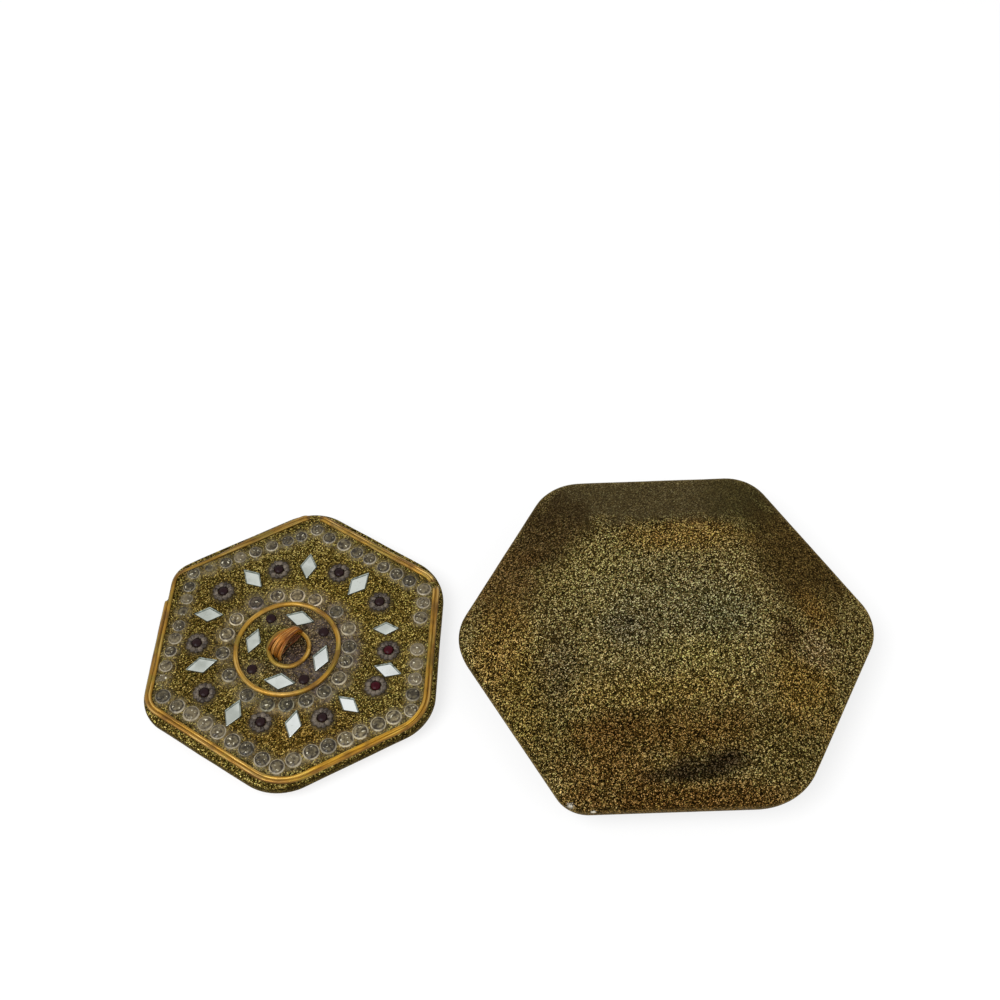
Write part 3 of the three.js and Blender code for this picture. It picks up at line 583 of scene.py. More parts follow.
# Place, size and tint of painted light and shade on the wires: darker on the lid's far sides and brighter on
# its near right side.
WIRE_LIGHT_AND_SHADE = [
    ((-15, 26, 5), (17, 12, 9), (0.64, 0.66, 0.60, 1)),
    ((15, 27, 5), (14, 9, 9), (0.84, 0.90, 1.0, 1)),
    ((15, -26, 5), (17, 12, 9), (1.36, 1.36, 0.80, 1)),
]

# Stones that took more glue or less, on the ring and the border; the spot at the near right, brighter, and
# the one at the far left, darker, are painted light and shade
STONE_SPOTS = [
    ((-2, -2, 5), (17, 17, 9), (1.2, 1.2, 1.15, 1)),
    ((1, 12, 5), (8, 4, 9), (1.95, 1.85, 1.75, 1)),
    ((-10, 10, 5), (3, 3, 9), (0.65, 0.58, 0.62, 1)),
    ((-14, 3, 5), (4, 5, 9), (1.75, 1.72, 1.65, 1)),
    ((-4, -16, 5), (6, 3, 9), (0.72, 0.76, 0.70, 1)),
    ((17, -21, 5), (11, 8, 9), (1.3, 1.3, 1.25, 1)),
    ((-23, 15, 5), (9, 7, 9), (0.80, 0.80, 0.75, 1)),
]

base_lac_finish = lac_material(
    "base_lac", to_base.translation, 0.225, 3.0, 0.059, (0.80, 0.70, 0.58, 1), BASE_PATCHES, BASE_CHIPS)
lid_lac_finish = lac_material(
    "lid_lac", to_lid.translation, 0.245, 2.3, 0.0815, (0.88, 0.775, 0.50, 1), LID_PATCHES, haze=True)
wood_finish = wood_material()
gilt_finish = wire_material(
    "gilt_wire", (0.40, 0.212, 0.018, 1), (0.12, 0.056, 0.009, 1), (0.48, 0.31, 0.085, 1), spots=WIRE_LIGHT_AND_SHADE)
dull_gilt_finish = wire_material(
    "dull_gilt_wire", (0.32, 0.16, 0.018, 1), (0.095, 0.042, 0.008, 1), (0.45, 0.30, 0.09, 1),
    spots=WIRE_LIGHT_AND_SHADE)
copper_finish = wire_material(
    "copper_wire", (0.40, 0.135, 0.008, 1), (0.065, 0.015, 0.002, 1), (0.62, 0.34, 0.10, 1), tarnish=0.1)
mirror_finish = mirror_material()
bevel_finish = bevel_material()
mirror_edge_finish = mirror_edge_material()
stone_finish = stone_material()
petal_finish = petal_material()
dark_bead_finish = bead_material("dark_bead", (0.004, 0.001, 0.002, 1), (0.024, 0.010, 0.010, 1))
red_bead_finish = bead_material("red_bead", (0.011, 0.0005, 0.0015, 1), (0.055, 0.003, 0.008, 1))


# Outlines and shells

def six(value):
    """One value for each of the six sides or corners."""
    return list(value) if isinstance(value, (list, tuple)) else [value] * SIDES


def unit(turn):
    return Vector((math.cos(turn), math.sin(turn)))


def outline(sides, corners, steps, arc_share):
    """Points round a hexagon with round corners, steps to a side, from the middle of its first corner.
    Sides are the distances of the six sides from the centre, corners the radii of the six corners."""
    sides = six(sides)
    corners = six(corners)

    def on_corner(k, turn):
        before, after = sides[k - 1], sides[k]
        reach = ((before + after) / 2 - corners[k]) / math.cos(SIXTH / 2)
        pivot = reach * unit(k * SIXTH) + (after - before) * unit(k * SIXTH + math.pi / 2)
        return pivot + corners[k] * unit(turn)

    points = []
    for k in range(SIDES):
        following = (k + 1) % SIDES
        facing = (k + 0.5) * SIXTH
        for i in range(steps):
            t = i / steps
            if t < arc_share:
                points.append(on_corner(k, facing - (1 - t / arc_share) * SIXTH / 2))
            elif t > 1 - arc_share:
                points.append(on_corner(following, facing + (1 - (1 - t) / arc_share) * SIXTH / 2))
            else:
                share = (t - arc_share) / (1 - 2 * arc_share)
                points.append(on_corner(k, facing).lerp(on_corner(following, facing), share))
    return points


def ring(sides, corners, height, steps, arc_share):
    """An outline at a height."""
    return [Vector((x, y, height)) for x, y in outline(sides, corners, steps, arc_share)]


def lid_outline(sides, corners, height, steps, arc_share):
    """A ring with a corner at +Y, as on the lid."""
    return [corner_up @ p for p in ring(sides, corners, height, steps, arc_share)]


def bend(start, control, end, steps):
    """Points of a quadratic curve, without its start."""
    points = []
    for k in range(1, steps + 1):
        t = k / steps
        points.append((1 - t) ** 2 * Vector(start) + 2 * t * (1 - t) * Vector(control) + t * t * Vector(end))
    return points


def straight(start, end, steps):
    return [Vector(start).lerp(Vector(end), k / steps) for k in range(1, steps + 1)]


def bridged(rings, closed=False, start_tip=None, end_tip=None):
    """Vertices and faces of rings joined one to the next, closed by a tip or onto the first ring."""
    count = len(rings[0])
    vertices = [point for one in rings for point in one]
    faces = []
    pairs = [(k, k + 1) for k in range(len(rings) - 1)]
    if closed:
        pairs.append((len(rings) - 1, 0))
    for low, high in pairs:
        for i in range(count):
            j = (i + 1) % count
            faces.append((low * count + i, low * count + j, high * count + j, high * count + i))
    if start_tip is not None:
        vertices.append(start_tip)
        tip = len(vertices) - 1
        faces += [((i + 1) % count, i, tip) for i in range(count)]
    if end_tip is not None:
        vertices.append(end_tip)
        tip = len(vertices) - 1
        last = (len(rings) - 1) * count
        faces += [(last + i, last + (i + 1) % count, tip) for i in range(count)]
    return vertices, faces


def new_mesh(name, vertices, edges=(), faces=()):
    mesh = bpy.data.meshes.new(name)
    mesh.from_pydata([tuple(v) for v in vertices], list(edges), list(faces))
    return mesh


def new_object(name, data):
    made = bpy.data.objects.new(name, data)
    bpy.context.scene.collection.objects.link(made)
    return made


def store(mesh, name, values):
    """Keeps a number for each vertex of a mesh."""
    mesh.attributes.new(name, "FLOAT", "POINT").data.foreach_set("value", values)


def piece(name, vertices, faces, body, nodes, materials, smooth=True, place=None):
    """A mesh that stands for CAD nodes and rides on their body."""
    mesh = new_mesh(name, vertices, faces=faces)
    if place is not None:
        mesh.transform(place)
    mesh.update()
    for one in materials:
        mesh.materials.append(one)
    made = new_object(name, mesh)
    if smooth:
        mesh.shade_smooth()
    if body:
        settle(made, body, nodes)
    return made


def settle(made, body, nodes):
    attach(made, body)
    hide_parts(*nodes)


def wavy(point, size, depth):
    """How far a hand-made surface sinks at a point, from 0 to depth."""
    return depth * (0.5 + 0.5 * noise.noise(point / size))


# Base

def base_corner(apothem, height):
    """The corners grow rounder towards the mouth and towards the foot."""
    belly = BELLY_CORNER / belly_apothem
    mouth = MOUTH_CORNER / MOUTH_APOTHEM
    foot = FOOT_CORNER / FOOT_APOTHEM
    if height < BELLY_HEIGHT:
        return apothem * (mouth + (belly - mouth) * height / BELLY_HEIGHT)
    return apothem * (belly + (foot - belly) * (height - BELLY_HEIGHT) / (foot_top - BELLY_HEIGHT))


def base_profile():
    """Outside of the lac, from the mouth rim over the belly to the edge of the foot."""
    belly_fold = Vector((belly_apothem, BELLY_HEIGHT + BELLY_EDGE))
    foot_fold = Vector((FOOT_APOTHEM, foot_top))
    slope = (foot_fold - belly_fold).normalized()
    belly = (belly_apothem, BELLY_HEIGHT)
    rim = (MOUTH_APOTHEM + RIM_WIDTH + BOND_GAP + LAC, LAC_EDGE_LIFT)
    slope_start = belly_fold + slope * BELLY_FOLD
    slope_end = foot_fold - slope * FOOT_FOLD
    points = [Vector(rim)]
    points += bend(rim, (belly_apothem, SHOULDER_FULLNESS), belly, 14)
    points += bend(belly, belly_fold, slope_start, 10)
    points += straight(slope_start, slope_end, 14)
    points += bend(slope_end, foot_fold, foot_fold - Vector((FOOT_FOLD, 0)), 8)
    return points


def inset(points, distance):
    """A profile moved to its inner side, square to its own line."""
    moved = []
    for k, point in enumerate(points):
        along = (points[min(k + 1, len(points) - 1)] - points[max(k - 1, 0)]).normalized()
        moved.append(Vector((max(point.x - along.y * distance, 0), point.y + along.x * distance)))
    return moved


BASE_STEPS = 42
BASE_ARC = 0.16
FOOT_RINGS = 22


def base_ring(apothem, corner, height):
    sides = [apothem * (1 + drift / belly_apothem) for drift in BASE_DRIFT]
    corners = [corner * share for share in BASE_CORNER_SHARES]
    return ring(sides, corners, height, BASE_STEPS, BASE_ARC)


def base_rings(profile):
    return [base_ring(p.x, base_corner(p.x, p.y), p.y) for p in profile]


def base_lac():
    profile = base_profile()
    outside = base_rings(profile)
    edge = profile[-1]
    for k in range(1, FOOT_RINGS):
        share = 1 - k / FOOT_RINGS
        outside.append(base_ring(edge.x * share, base_corner(edge.x, edge.y) * share, edge.y))
    for one in outside[1:]:
        for point in one:
            sink = wavy(point, 9 * MM, 0.10 * MM) + wavy(point + Vector((1, 1, 1)), 3.5 * MM, 0.05 * MM)
            point.z -= sink
            point.xy *= 1 - 0.4 * sink / max(point.xy.length, 10 * MM)
    inner = base_rings(inset(profile, LAC)[::3])
    rings = list(reversed(inner)) + outside
    inner_tip = Vector((0, 0, foot_top - LAC))
    outer_tip = Vector((0, 0, foot_top - 0.1 * MM))
    vertices, faces = bridged(rings, start_tip=inner_tip, end_tip=outer_tip)
    piece("base_lac", vertices, faces, "base", ["base_lac_coat"], [base_lac_finish],
          place=to_base)


def base_wood():
    """The three glued parts of the wooden base: bowl, shoulder and mouth board."""
    outside = inset(base_profile(), LAC + BOND_GAP)
    low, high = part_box("base_shoulder")
    seam = high.z
    board = low.z
    below = [p for p in outside if p.y < board]
    middle_part = [p for p in outside if board < p.y < seam]
    above = [p for p in outside if p.y > seam]

    def at(height):
        k = next(i for i, p in enumerate(outside) if p.y > height)
        first, second = outside[k - 1], outside[k]
        return first.lerp(second, (height - first.y) / (second.y - first.y))

    slope_run = (belly_apothem - FOOT_APOTHEM) / (foot_top - BELLY_HEIGHT - BELLY_EDGE)
    seam_inside = at(seam).x - WOOD_WALL * math.hypot(slope_run, 1)
    floor = foot_top - LAC - BOND_GAP - FLOOR_THICKNESS
    floor_apothem = seam_inside - slope_run * (floor - seam)
    fillet_start = (floor_apothem - FLOOR_FILLET, floor)
    fillet_end = (floor_apothem + FLOOR_FILLET, floor - FLOOR_FILLET_DROP)
    shoulder_inside = at(board).x - SHOULDER_WALL
    bulge = (max(seam_inside, shoulder_inside) + CAVITY_BULGE, (seam + board) / 2)
    parts = {
        "bowl_wood": (
            "base_bowl",
            [Vector((floor_apothem * 0.5, floor)), Vector(fillet_start)]
            + bend(fillet_start, (floor_apothem, floor), fillet_end, 4)
            + [Vector((seam_inside, seam)), at(seam)] + above,
        ),
        "shoulder_wood": (
            "base_shoulder",
            [at(board)] + middle_part + [at(seam), Vector((seam_inside, seam))]
            + bend((seam_inside, seam), bulge, (shoulder_inside, board), 8),
        ),
        "mouth_board": (
            "mouth_ring",
            [Vector((MOUTH_APOTHEM + RIM_WIDTH, 0))] + below + [at(board), Vector((MOUTH_APOTHEM, board))]
            + [Vector((MOUTH_APOTHEM, 0.3 * MM)), Vector((MOUTH_APOTHEM + 0.3 * MM, 0))],
        ),
    }
    for name, (node, profile) in parts.items():
        rings = base_rings(profile)
        if node == "base_bowl":
            tips = {"start_tip": Vector((0, 0, floor)), "end_tip": Vector((0, 0, profile[-1].y))}
        else:
            tips = {"closed": True}
        vertices, faces = bridged(rings, **tips)
        made = piece(name, vertices, faces, "base", [node], [wood_finish], smooth=False,
                     place=to_base)
        smooth_by_angle(made, 35)


def smooth_by_angle(made, degrees):
    made.data.shade_smooth()
    made.data.set_sharp_from_angle(angle=math.radians(degrees))


# Lid: places of its settings

def on_lid(point):
    """Part frame to lid frame, where a corner of the lid is at +Y."""
    return from_lid @ Vector(point)


def stone_row(index):
    """Centres of one row of border stones, in the lid frame. One stone has fallen out and some have sunk."""
    start, end = (
        reach * MM * unit(math.radians(turn))
        for reach, turn in (STONE_LINE_CORNERS[index], STONE_LINE_CORNERS[(index + 1) % SIDES]))
    luck = random.Random(index + 11)
    count = STONES_IN_ROW[index]
    spots = []
    for k in range(count):
        late = STONE_ROW_START[index] * (1 - k / count)
        spot = start.lerp(end, (k + late + luck.uniform(-0.08, 0.08)) / count)
        spot *= 1 + luck.uniform(-0.008, 0.008)
        sink = STONE_SINK + (DROWNED if (index, k) in DROWNED_STONES else 0)
        if (index, k) != MISSING_STONE:
            spots.append(Vector((*spot, face - sink)))
    return spots


def medallion_ring_stones():
    centre = on_lid(medallion_middle).xy
    spots = [centre + reach * MM * unit(math.radians(turn)) for turn, reach in MEDALLION_STONES]
    return [Vector((*spot, face - STONE_SINK)) for spot in spots]


def diamond(node):
    """Centre, long half-diagonal and short half-diagonal of a mirror node, in the lid frame."""
    points = [on_lid(v.co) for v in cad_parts[node].data.vertices]
    centre = sum((p.xy for p in points), Vector((0, 0))) / len(points)
    far = max(points, key=lambda p: (p.xy - centre).length).xy - centre
    across = max(points, key=lambda p: abs((p.xy - centre).dot(far.orthogonal().normalized()))).xy - centre
    side = far.orthogonal().normalized()
    return centre, far, side * abs(across.dot(side))


rows = [stone_row(i) for i in range(SIDES)]
medallion_stone_places = medallion_ring_stones()
rosette_names = [n for n in sorted(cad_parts) if n.startswith("rosette_") and "bead" not in n]
bead_names = [n for n in sorted(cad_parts) if "_bead_" in n]
mirror_names = [n for n in sorted(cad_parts) if "mirror_" in n]
red_beads = ["rosette_bead_07", "rosette_bead_08"]


# Lid: lac

LATTICE = 112
LID_ARC = 0.15


def border_sides(aside):
    return [BORDER_APOTHEM + aside + drift for drift in BORDER_DRIFT]


def border_path(aside, height, steps=60):
    """Line of a strand of the border wire. It dips into the lac at the two corners at the top."""
    corners = [radius + aside for radius in BORDER_CORNERS]
    path = lid_outline(border_sides(aside), corners, face + height, steps, 0.12)
    for point in path:
        turn = math.degrees(math.atan2(point.y, point.x))
        for middle_turn, half_width in ((90, 2.2), (28, 1.3)):
            beyond = max(0, abs(turn - middle_turn) - half_width) / 2.2
            point.z -= BORDER_WIRE_DIP * max(0, 1 - beyond) ** 2
    return path


def away_from(points, path):
    """Distance of each point from the nearest point of a path."""
    line = np.array([p.xy for p in path])
    least = np.empty(len(points))
    for start in range(0, len(points), 4000):
        part = points[start:start + 4000]
        gaps = np.hypot(part[:, None, 0] - line[None, :, 0], part[:, None, 1] - line[None, :, 1])
        least[start:start + 4000] = gaps.min(axis=1)
    return least


# How the lac rises at what is set in it: height and run, strength and run of the haze, and of the painted
# shade round it
AT_BORDER_STONE = (0.30 * MM, 0.4 * MM, 0.85, 0.65 * MM)
AT_RING_STONE = (0.30 * MM, 0.4 * MM, 1.0, 1.1 * MM)
AT_ROSETTE = (0.22 * MM, 0.35 * MM, 0, MM, 1.0, 0.65 * MM)
AT_BEAD = (0.22 * MM, 0.4 * MM, 0.7, 1.3 * MM)
AT_MIRROR = (0.16 * MM, 0.35 * MM, 0, MM, 0.7, 0.35 * MM)
AT_MEDALLION_WIRE = (0.3 * MM, 0.8 * MM, 0.25, 1.1 * MM)
AT_KNOB_RING = (0.25 * MM, 0.7 * MM, 0.2, 0.8 * MM)
AT_BORDER_WIRE = (0.36 * MM, 0.7 * MM, 0.0, MM)
SMEAR_RUN = 1.8 * MM
ROSETTE_RADIUS = 2.4 * MM
BEAD_RADIUS = 1.15 * MM


def relief(points):
    """Height, haze and painted shade of the lac at points of the face, in the lid frame."""
    height = np.zeros(len(points))
    haze = np.zeros(len(points))
    grime = np.zeros(len(points))

    def raise_near(away, rise, run, fog, fog_run, shade_depth=0.0, shade_run=MM):
        beyond = np.maximum(away, 0)
        height[:] = np.maximum(height, rise * np.exp(-((beyond / run) ** 2)))
        haze[:] = np.maximum(haze, fog * np.exp(-((beyond / fog_run) ** 2)))
        grime[:] = np.maximum(grime, shade_depth * np.exp(-((beyond / shade_run) ** 2)))

    def from_round(centre, radius):
        return np.hypot(points[:, 0] - centre[0], points[:, 1] - centre[1]) - radius

    for row, radius in zip(rows, STONE_RADII):
        for centre in row:
            raise_near(from_round(centre, radius), *AT_BORDER_STONE)
    for centre in medallion_stone_places:
        raise_near(from_round(centre, MEDALLION_STONE_RADIUS), *AT_RING_STONE)
    for name in rosette_names:
        raise_near(from_round(on_lid(middle(name)).xy, ROSETTE_RADIUS), *AT_ROSETTE)
    for name in bead_names:
        if name.startswith("medallion"):
            raise_near(from_round(on_lid(middle(name)).xy, BEAD_RADIUS), *AT_BEAD)
    for name in mirror_names:
        centre, far, side = diamond(name)
        offset = points - np.array(centre)
        u = np.abs(offset @ np.array(far)) / far.length_squared
        v = np.abs(offset @ np.array(side)) / side.length_squared
        away = (u + v - 1) * far.length * side.length / math.hypot(far.length, side.length)
        raise_near(away, *AT_MIRROR)
    centre = on_lid(medallion_middle).xy
    raise_near(np.abs(from_round(centre, MEDALLION_RADIUS)), *AT_MEDALLION_WIRE)
    raise_near(np.abs(from_round(knob_ring_centre(), KNOB_RING_RADIUS)), *AT_KNOB_RING)
    inner = away_from(points, border_path(0, 0))
    outer = away_from(points, border_path(BORDER_WIRE_STEP, 0))
    raise_near(np.minimum(inner, outer), *AT_BORDER_WIRE)
    for x, y, radius, fog in MEDALLION_SMEARS:
        raise_near(from_round(centre + Vector((x, y)) * MM, radius * MM), 0, MM, fog, SMEAR_RUN)
    return height, haze, grime


def knob_ring_centre():
    return on_lid(medallion_middle).xy + Vector(KNOB_RING_DRIFT)


def lid_ring(inset, share, height, steps):
    """Ring of the lac's outside, set in by a distance and drawn towards the centre by a share."""
    sides = [(lid_apothem + drift - inset) * share for drift in LID_DRIFT]
    corners = [(radius - inset * 0.3) * share for radius in LID_CORNERS]
    return lid_outline(sides, corners, height, steps, LID_ARC)


def step_in(point):
    """Above the step on the left side the edge stands further in."""
    beyond = max(0, -26 * MM - point.x) / (6.5 * MM)
    above = min(1, max(0, (point.y - LID_STEP_PLACE) / (0.7 * MM)))
    point.x += LID_STEP * above * min(1, beyond)


def lid_lac():
    vertices = [Vector((0, 0, face))]
    starts = [0]
    for k in range(1, LATTICE + 1):
        starts.append(len(vertices))
        vertices += lid_ring(FACE_INSET, k / LATTICE, face, k)
    faces = []
    for k in range(LATTICE):
        for side in range(SIDES):
            def inner(i):
                return 0 if k == 0 else starts[k] + (side * k + i) % (SIDES * k)

            def outer(i):
                return starts[k + 1] + (side * (k + 1) + i) % (SIDES * (k + 1))

            for i in range(k + 1):
                faces.append((inner(i), outer(i), outer(i + 1)))
            for i in range(k):
                faces.append((inner(i), outer(i + 1), inner(i + 1)))
    height, haze, grime = relief(np.array([v.xy for v in vertices]))
    edge = np.zeros(len(vertices))
    for k in range(LATTICE + 1):
        stop = starts[k + 1] if k < LATTICE else len(vertices)
        edge[starts[k]:stop] = min(1, (LATTICE - k) / 4)
    for i, vertex in enumerate(vertices):
        vertex.z = face + (height[i] - 0.10 * MM * (0.5 + 0.5 * noise.noise(vertex / (5 * MM)))) * edge[i]
    drop = face - SKIRT_DROP
    down = bend((-FACE_INSET, face), (0, face), (0, drop), 7)
    down += bend((0, drop), (0, LOCATING_DEPTH), (-SKIRT_RETURN, LOCATING_DEPTH), 7)
    previous = starts[LATTICE]
    count = SIDES * LATTICE

    def add_ring(points):
        nonlocal previous
        start = len(vertices)
        vertices.extend(points)
        for i in range(count):
            j = (i + 1) % count
            faces.append((previous + i, start + i, start + j, previous + j))
        previous = start

    for k, point in enumerate(down):
        points = lid_ring(-point.x, 1, point.y, LATTICE)
        for one in points:
            sink = wavy(one, 6 * MM, 0.14 * MM) * min(1, (k + 1) / 4)
            one.xy *= 1 - sink / one.xy.length
        add_ring(points)
    for one in vertices:
        step_in(one)
    wood_apothem = lid_apothem - LID_SIDE_LAC + BOND_GAP
    wood_corner = LID_CORNER * wood_apothem / lid_apothem
    for height_inside in (LOCATING_DEPTH, LOCATING_DEPTH + LID_WOOD):
        add_ring(lid_outline(wood_apothem, wood_corner, height_inside, LATTICE, LID_ARC))
    vertices.append(Vector((0, 0, LOCATING_DEPTH + LID_WOOD)))
    faces += [(previous + i, len(vertices) - 1, previous + (i + 1) % count) for i in range(count)]
    made = piece("lid_lac", vertices, faces, "lid", ["lid_lac_coat"], [lid_lac_finish],
                 place=to_lid)
    for name, values in (("haze", haze), ("grime", grime)):
        store(made.data, name, np.concatenate([values * edge, np.zeros(len(vertices) - len(values))]))


def lid_board():
    """Wooden plate of the lid with its locating rim."""
    locating = MOUTH_APOTHEM - LID_CLEARANCE
    top = LOCATING_DEPTH + LID_WOOD
    plate = lid_apothem - LID_SIDE_LAC
    rim_corner = MOUTH_CORNER / MOUTH_APOTHEM
    plate_corner = LID_CORNER / lid_apothem
    profile = [
        (locating * 0.5, 0, rim_corner), (locating - 0.4 * MM, 0, rim_corner),
        (locating, 0.4 * MM, rim_corner), (locating, LOCATING_DEPTH, rim_corner),
        (plate, LOCATING_DEPTH, plate_corner),
        (plate, top - 0.1 * MM, plate_corner), (plate * 0.5, top - 0.1 * MM, plate_corner),
    ]
    rings = [lid_outline(x, x * share, z, BASE_STEPS, LID_ARC) for x, z, share in profile]
    tips = {"start_tip": Vector((0, 0, 0)), "end_tip": Vector((0, 0, top - 0.1 * MM))}
    vertices, faces = bridged(rings, **tips)
    made = piece("lid_board", vertices, faces, "lid", ["lid_wood"], [wood_finish], smooth=False,
                 place=to_lid)
    smooth_by_angle(made, 35)


# Geometry node trees

def shape_tree(name, inputs):
    """A geometry node tree with named inputs, and the node that gives them."""
    tree = bpy.data.node_groups.new(name, "GeometryNodeTree")
    tree.interface.new_socket("Geometry", in_out="INPUT", socket_type="NodeSocketGeometry")
    for label, kind in inputs.items():
        tree.interface.new_socket(label, in_out="INPUT", socket_type="NodeSocket" + kind)
    tree.interface.new_socket("Geometry", in_out="OUTPUT", socket_type="NodeSocketGeometry")
    graph = Graph(tree)
    return tree, graph, graph.node("NodeGroupInput")


def grow(made, tree, values):
    """Runs a tree on a piece and turns the result into a plain mesh."""
    modifier = made.modifiers.new(tree.name, "NODES")
    modifier.node_group = tree
    for item in tree.interface.items_tree:
        if item.item_type == "SOCKET" and item.in_out == "INPUT" and item.name in values:
            modifier[item.identifier] = values[item.name]
    bpy.context.view_layer.update()
    graph = bpy.context.evaluated_depsgraph_get()
    mesh = bpy.data.meshes.new_from_object(
        made.evaluated_get(graph), preserve_all_data_layers=True, depsgraph=graph)
    made.modifiers.clear()
    made.data = mesh
    mesh.name = made.name


def wire_tree():
    """A round wire swept along a line of points, a little uneven, with its length stored on it."""
    tree, graph, given = shape_tree("laid_wire", {
        "Radius": "Float", "Sway": "Float", "Seed": "Float", "Sides": "Int", "Finish": "Material"})
    curve = graph.node("GeometryNodeMeshToCurve", {}, {0: given["Geometry"]})[0]
    curve = graph.node("GeometryNodeResampleCurve", {"mode": "LENGTH"}, {
        "Curve": curve, "Length": 0.3 * MM})[0]
    place = graph.node("GeometryNodeInputPosition")[0]
    spread = graph.vector("ADD", graph.scaled(place, 1 / (4 * MM)), given["Seed"])
    swing = graph.node("ShaderNodeTexNoise", {}, {"Vector": spread, "Scale": 1.0})["Color"]
    offset = graph.scaled(graph.vector("SUBTRACT", swing, (0.5, 0.5, 0.5)), given["Sway"])
    curve = graph.node("GeometryNodeSetPosition", {}, {"Geometry": curve, "Offset": offset})[0]
    along = graph.node("GeometryNodeSplineParameter")["Length"] / MM
    curve = graph.stored(curve, "along", along)
    section = graph.node("GeometryNodeCurvePrimitiveCircle", {}, {
        "Resolution": given["Sides"], "Radius": given["Radius"]})[0]
    around = graph.vector("DIVIDE", graph.node("GeometryNodeInputPosition")[0], given["Radius"])
    section = graph.stored(section, "around", around, "FLOAT_VECTOR")
    wire = graph.node("GeometryNodeCurveToMesh", {}, {
        "Curve": curve, "Profile Curve": section, "Fill Caps": True})[0]
    wire = graph.node("GeometryNodeSetShadeSmooth", {}, {"Geometry": wire, "Shade Smooth": True})[0]
    wire = graph.node("GeometryNodeSetMaterial", {}, {"Geometry": wire, "Material": given["Finish"]})[0]
    wire = graph.node("GeometryNodeRealizeInstances", {}, {"Geometry": wire})[0]
    graph.node("NodeGroupOutput", {}, {0: wire})
    return tree


def settings_tree():
    """Copies of one stone or petal on points, each turned, tilted and sized by chance."""
    tree, graph, given = shape_tree("set_stones", {
        "Stone": "Object", "Size": "Float", "Size Spread": "Float", "Tilt": "Float", "Turn": "Float",
        "Seed": "Int", "Finish": "Material"})
    points = graph.node("GeometryNodeMeshToPoints", {}, {0: given["Geometry"]})[0]
    shape = graph.node("GeometryNodeObjectInfo", {}, {"Object": given["Stone"]})["Geometry"]

    def chance(low, high, offset):
        return graph.node("FunctionNodeRandomValue", {"data_type": "FLOAT"}, {
            2: low, 3: high, "Seed": given["Seed"] + offset})[1]

    facing = graph.node("GeometryNodeInputNamedAttribute", {"data_type": "FLOAT"}, {"Name": "facing"})[0]
    lean = graph.node("ShaderNodeCombineXYZ", {}, {
        0: chance(-1.0, 1.0, 1) * given["Tilt"],
        1: chance(-1.0, 1.0, 2) * given["Tilt"],
        2: facing + chance(-1.0, 1.0, 3) * given["Turn"]})[0]
    turn = graph.node("FunctionNodeEulerToRotation", {}, {0: lean})[0]
    size = given["Size"] * (1 + chance(-1.0, 1.0, 4) * given["Size Spread"])
    copies = graph.node("GeometryNodeInstanceOnPoints", {}, {
        "Points": points, "Instance": shape, "Rotation": turn, "Scale": size})[0]
    copies = graph.stored(copies, "tint", chance(0.0, 1.0, 5), domain="INSTANCE")
    solid = graph.node("GeometryNodeRealizeInstances", {}, {"Geometry": copies})[0]
    solid = graph.node("GeometryNodeSetMaterial", {}, {"Geometry": solid, "Material": given["Finish"]})[0]
    graph.node("NodeGroupOutput", {}, {0: solid})
    return tree


laid_wire = wire_tree()
set_stones = settings_tree()


# Wires

def wire(name, points, closed, diameter, sway, seed, finish, node, slot, sides=14):
    """Points are in the lid frame."""
    count = len(points)
    edges = [(i, i + 1) for i in range(count - 1)] + ([(count - 1, 0)] if closed else [])
    made = new_object(name, new_mesh(name, [to_lid @ Vector(p) for p in points], edges))
    grow(made, laid_wire, {
        "Radius": diameter / 2, "Sway": sway, "Seed": float(seed), "Sides": sides, "Finish": finish})
    settle(made, "lid", [node])


def border_wires():
    height = 0.46 * BORDER_WIRE
    inner = border_path(0, height)
    wire("border_wire_in", inner, True, BORDER_WIRE, 0.12 * MM, 1, gilt_finish, "border_wire_inner",
         "gilt_wire")
    outer = border_path(BORDER_WIRE_STEP, height - 0.06 * MM)
    sweep = (OUTER_STRAND_END - OUTER_STRAND_START) % (2 * math.pi)
    laid = []
    for point in outer:
        past = (math.atan2(point.y, point.x) - OUTER_STRAND_START) % (2 * math.pi)
        if past < sweep:
            laid.append((past, point))
    path = [point for past, point in sorted(laid, key=lambda pair: pair[0])]
    for k, point in enumerate(path):
        left = (len(path) - 1 - k) / 16
        if left < 1:
            point.xy *= 1 - BORDER_WIRE_STEP * (1 - left) / point.xy.length
            point.z -= 0.3 * MM * (1 - left)
    wire("border_wire_out", path, False, BORDER_WIRE, 0.12 * MM, 2, dull_gilt_finish, "border_wire_outer",
         "gilt_wire")


def ring_wires():
    centre = on_lid(medallion_middle).xy
    for name, node, middle_place, radius, diameter, seed in (
        ("medallion_wire", "medallion_ring", centre, MEDALLION_RADIUS, MEDALLION_WIRE, 3),
        ("knob_ring_wire", "knob_ring", knob_ring_centre(), KNOB_RING_RADIUS, KNOB_RING_WIRE, 4),
    ):
        path = []
        for k in range(120):
            x, y = middle_place + radius * unit(k / 120 * 2 * math.pi)
            path.append((x, y, face + 0.45 * diameter))
        wire(name, path, True, diameter, 0.2 * MM, seed, gilt_finish, node, "gilt_wire")


KNOB_STRANDS = 4
KNOB_STRAND_WIRE = 0.92 * MM
KNOB_HALF_SPAN = 3.9 * MM
KNOB_RISE = 3.2 * MM
KNOB_LIFT = 0.3 * MM
KNOB_SUNK = 0.8 * MM
KNOB_STEPS = 40


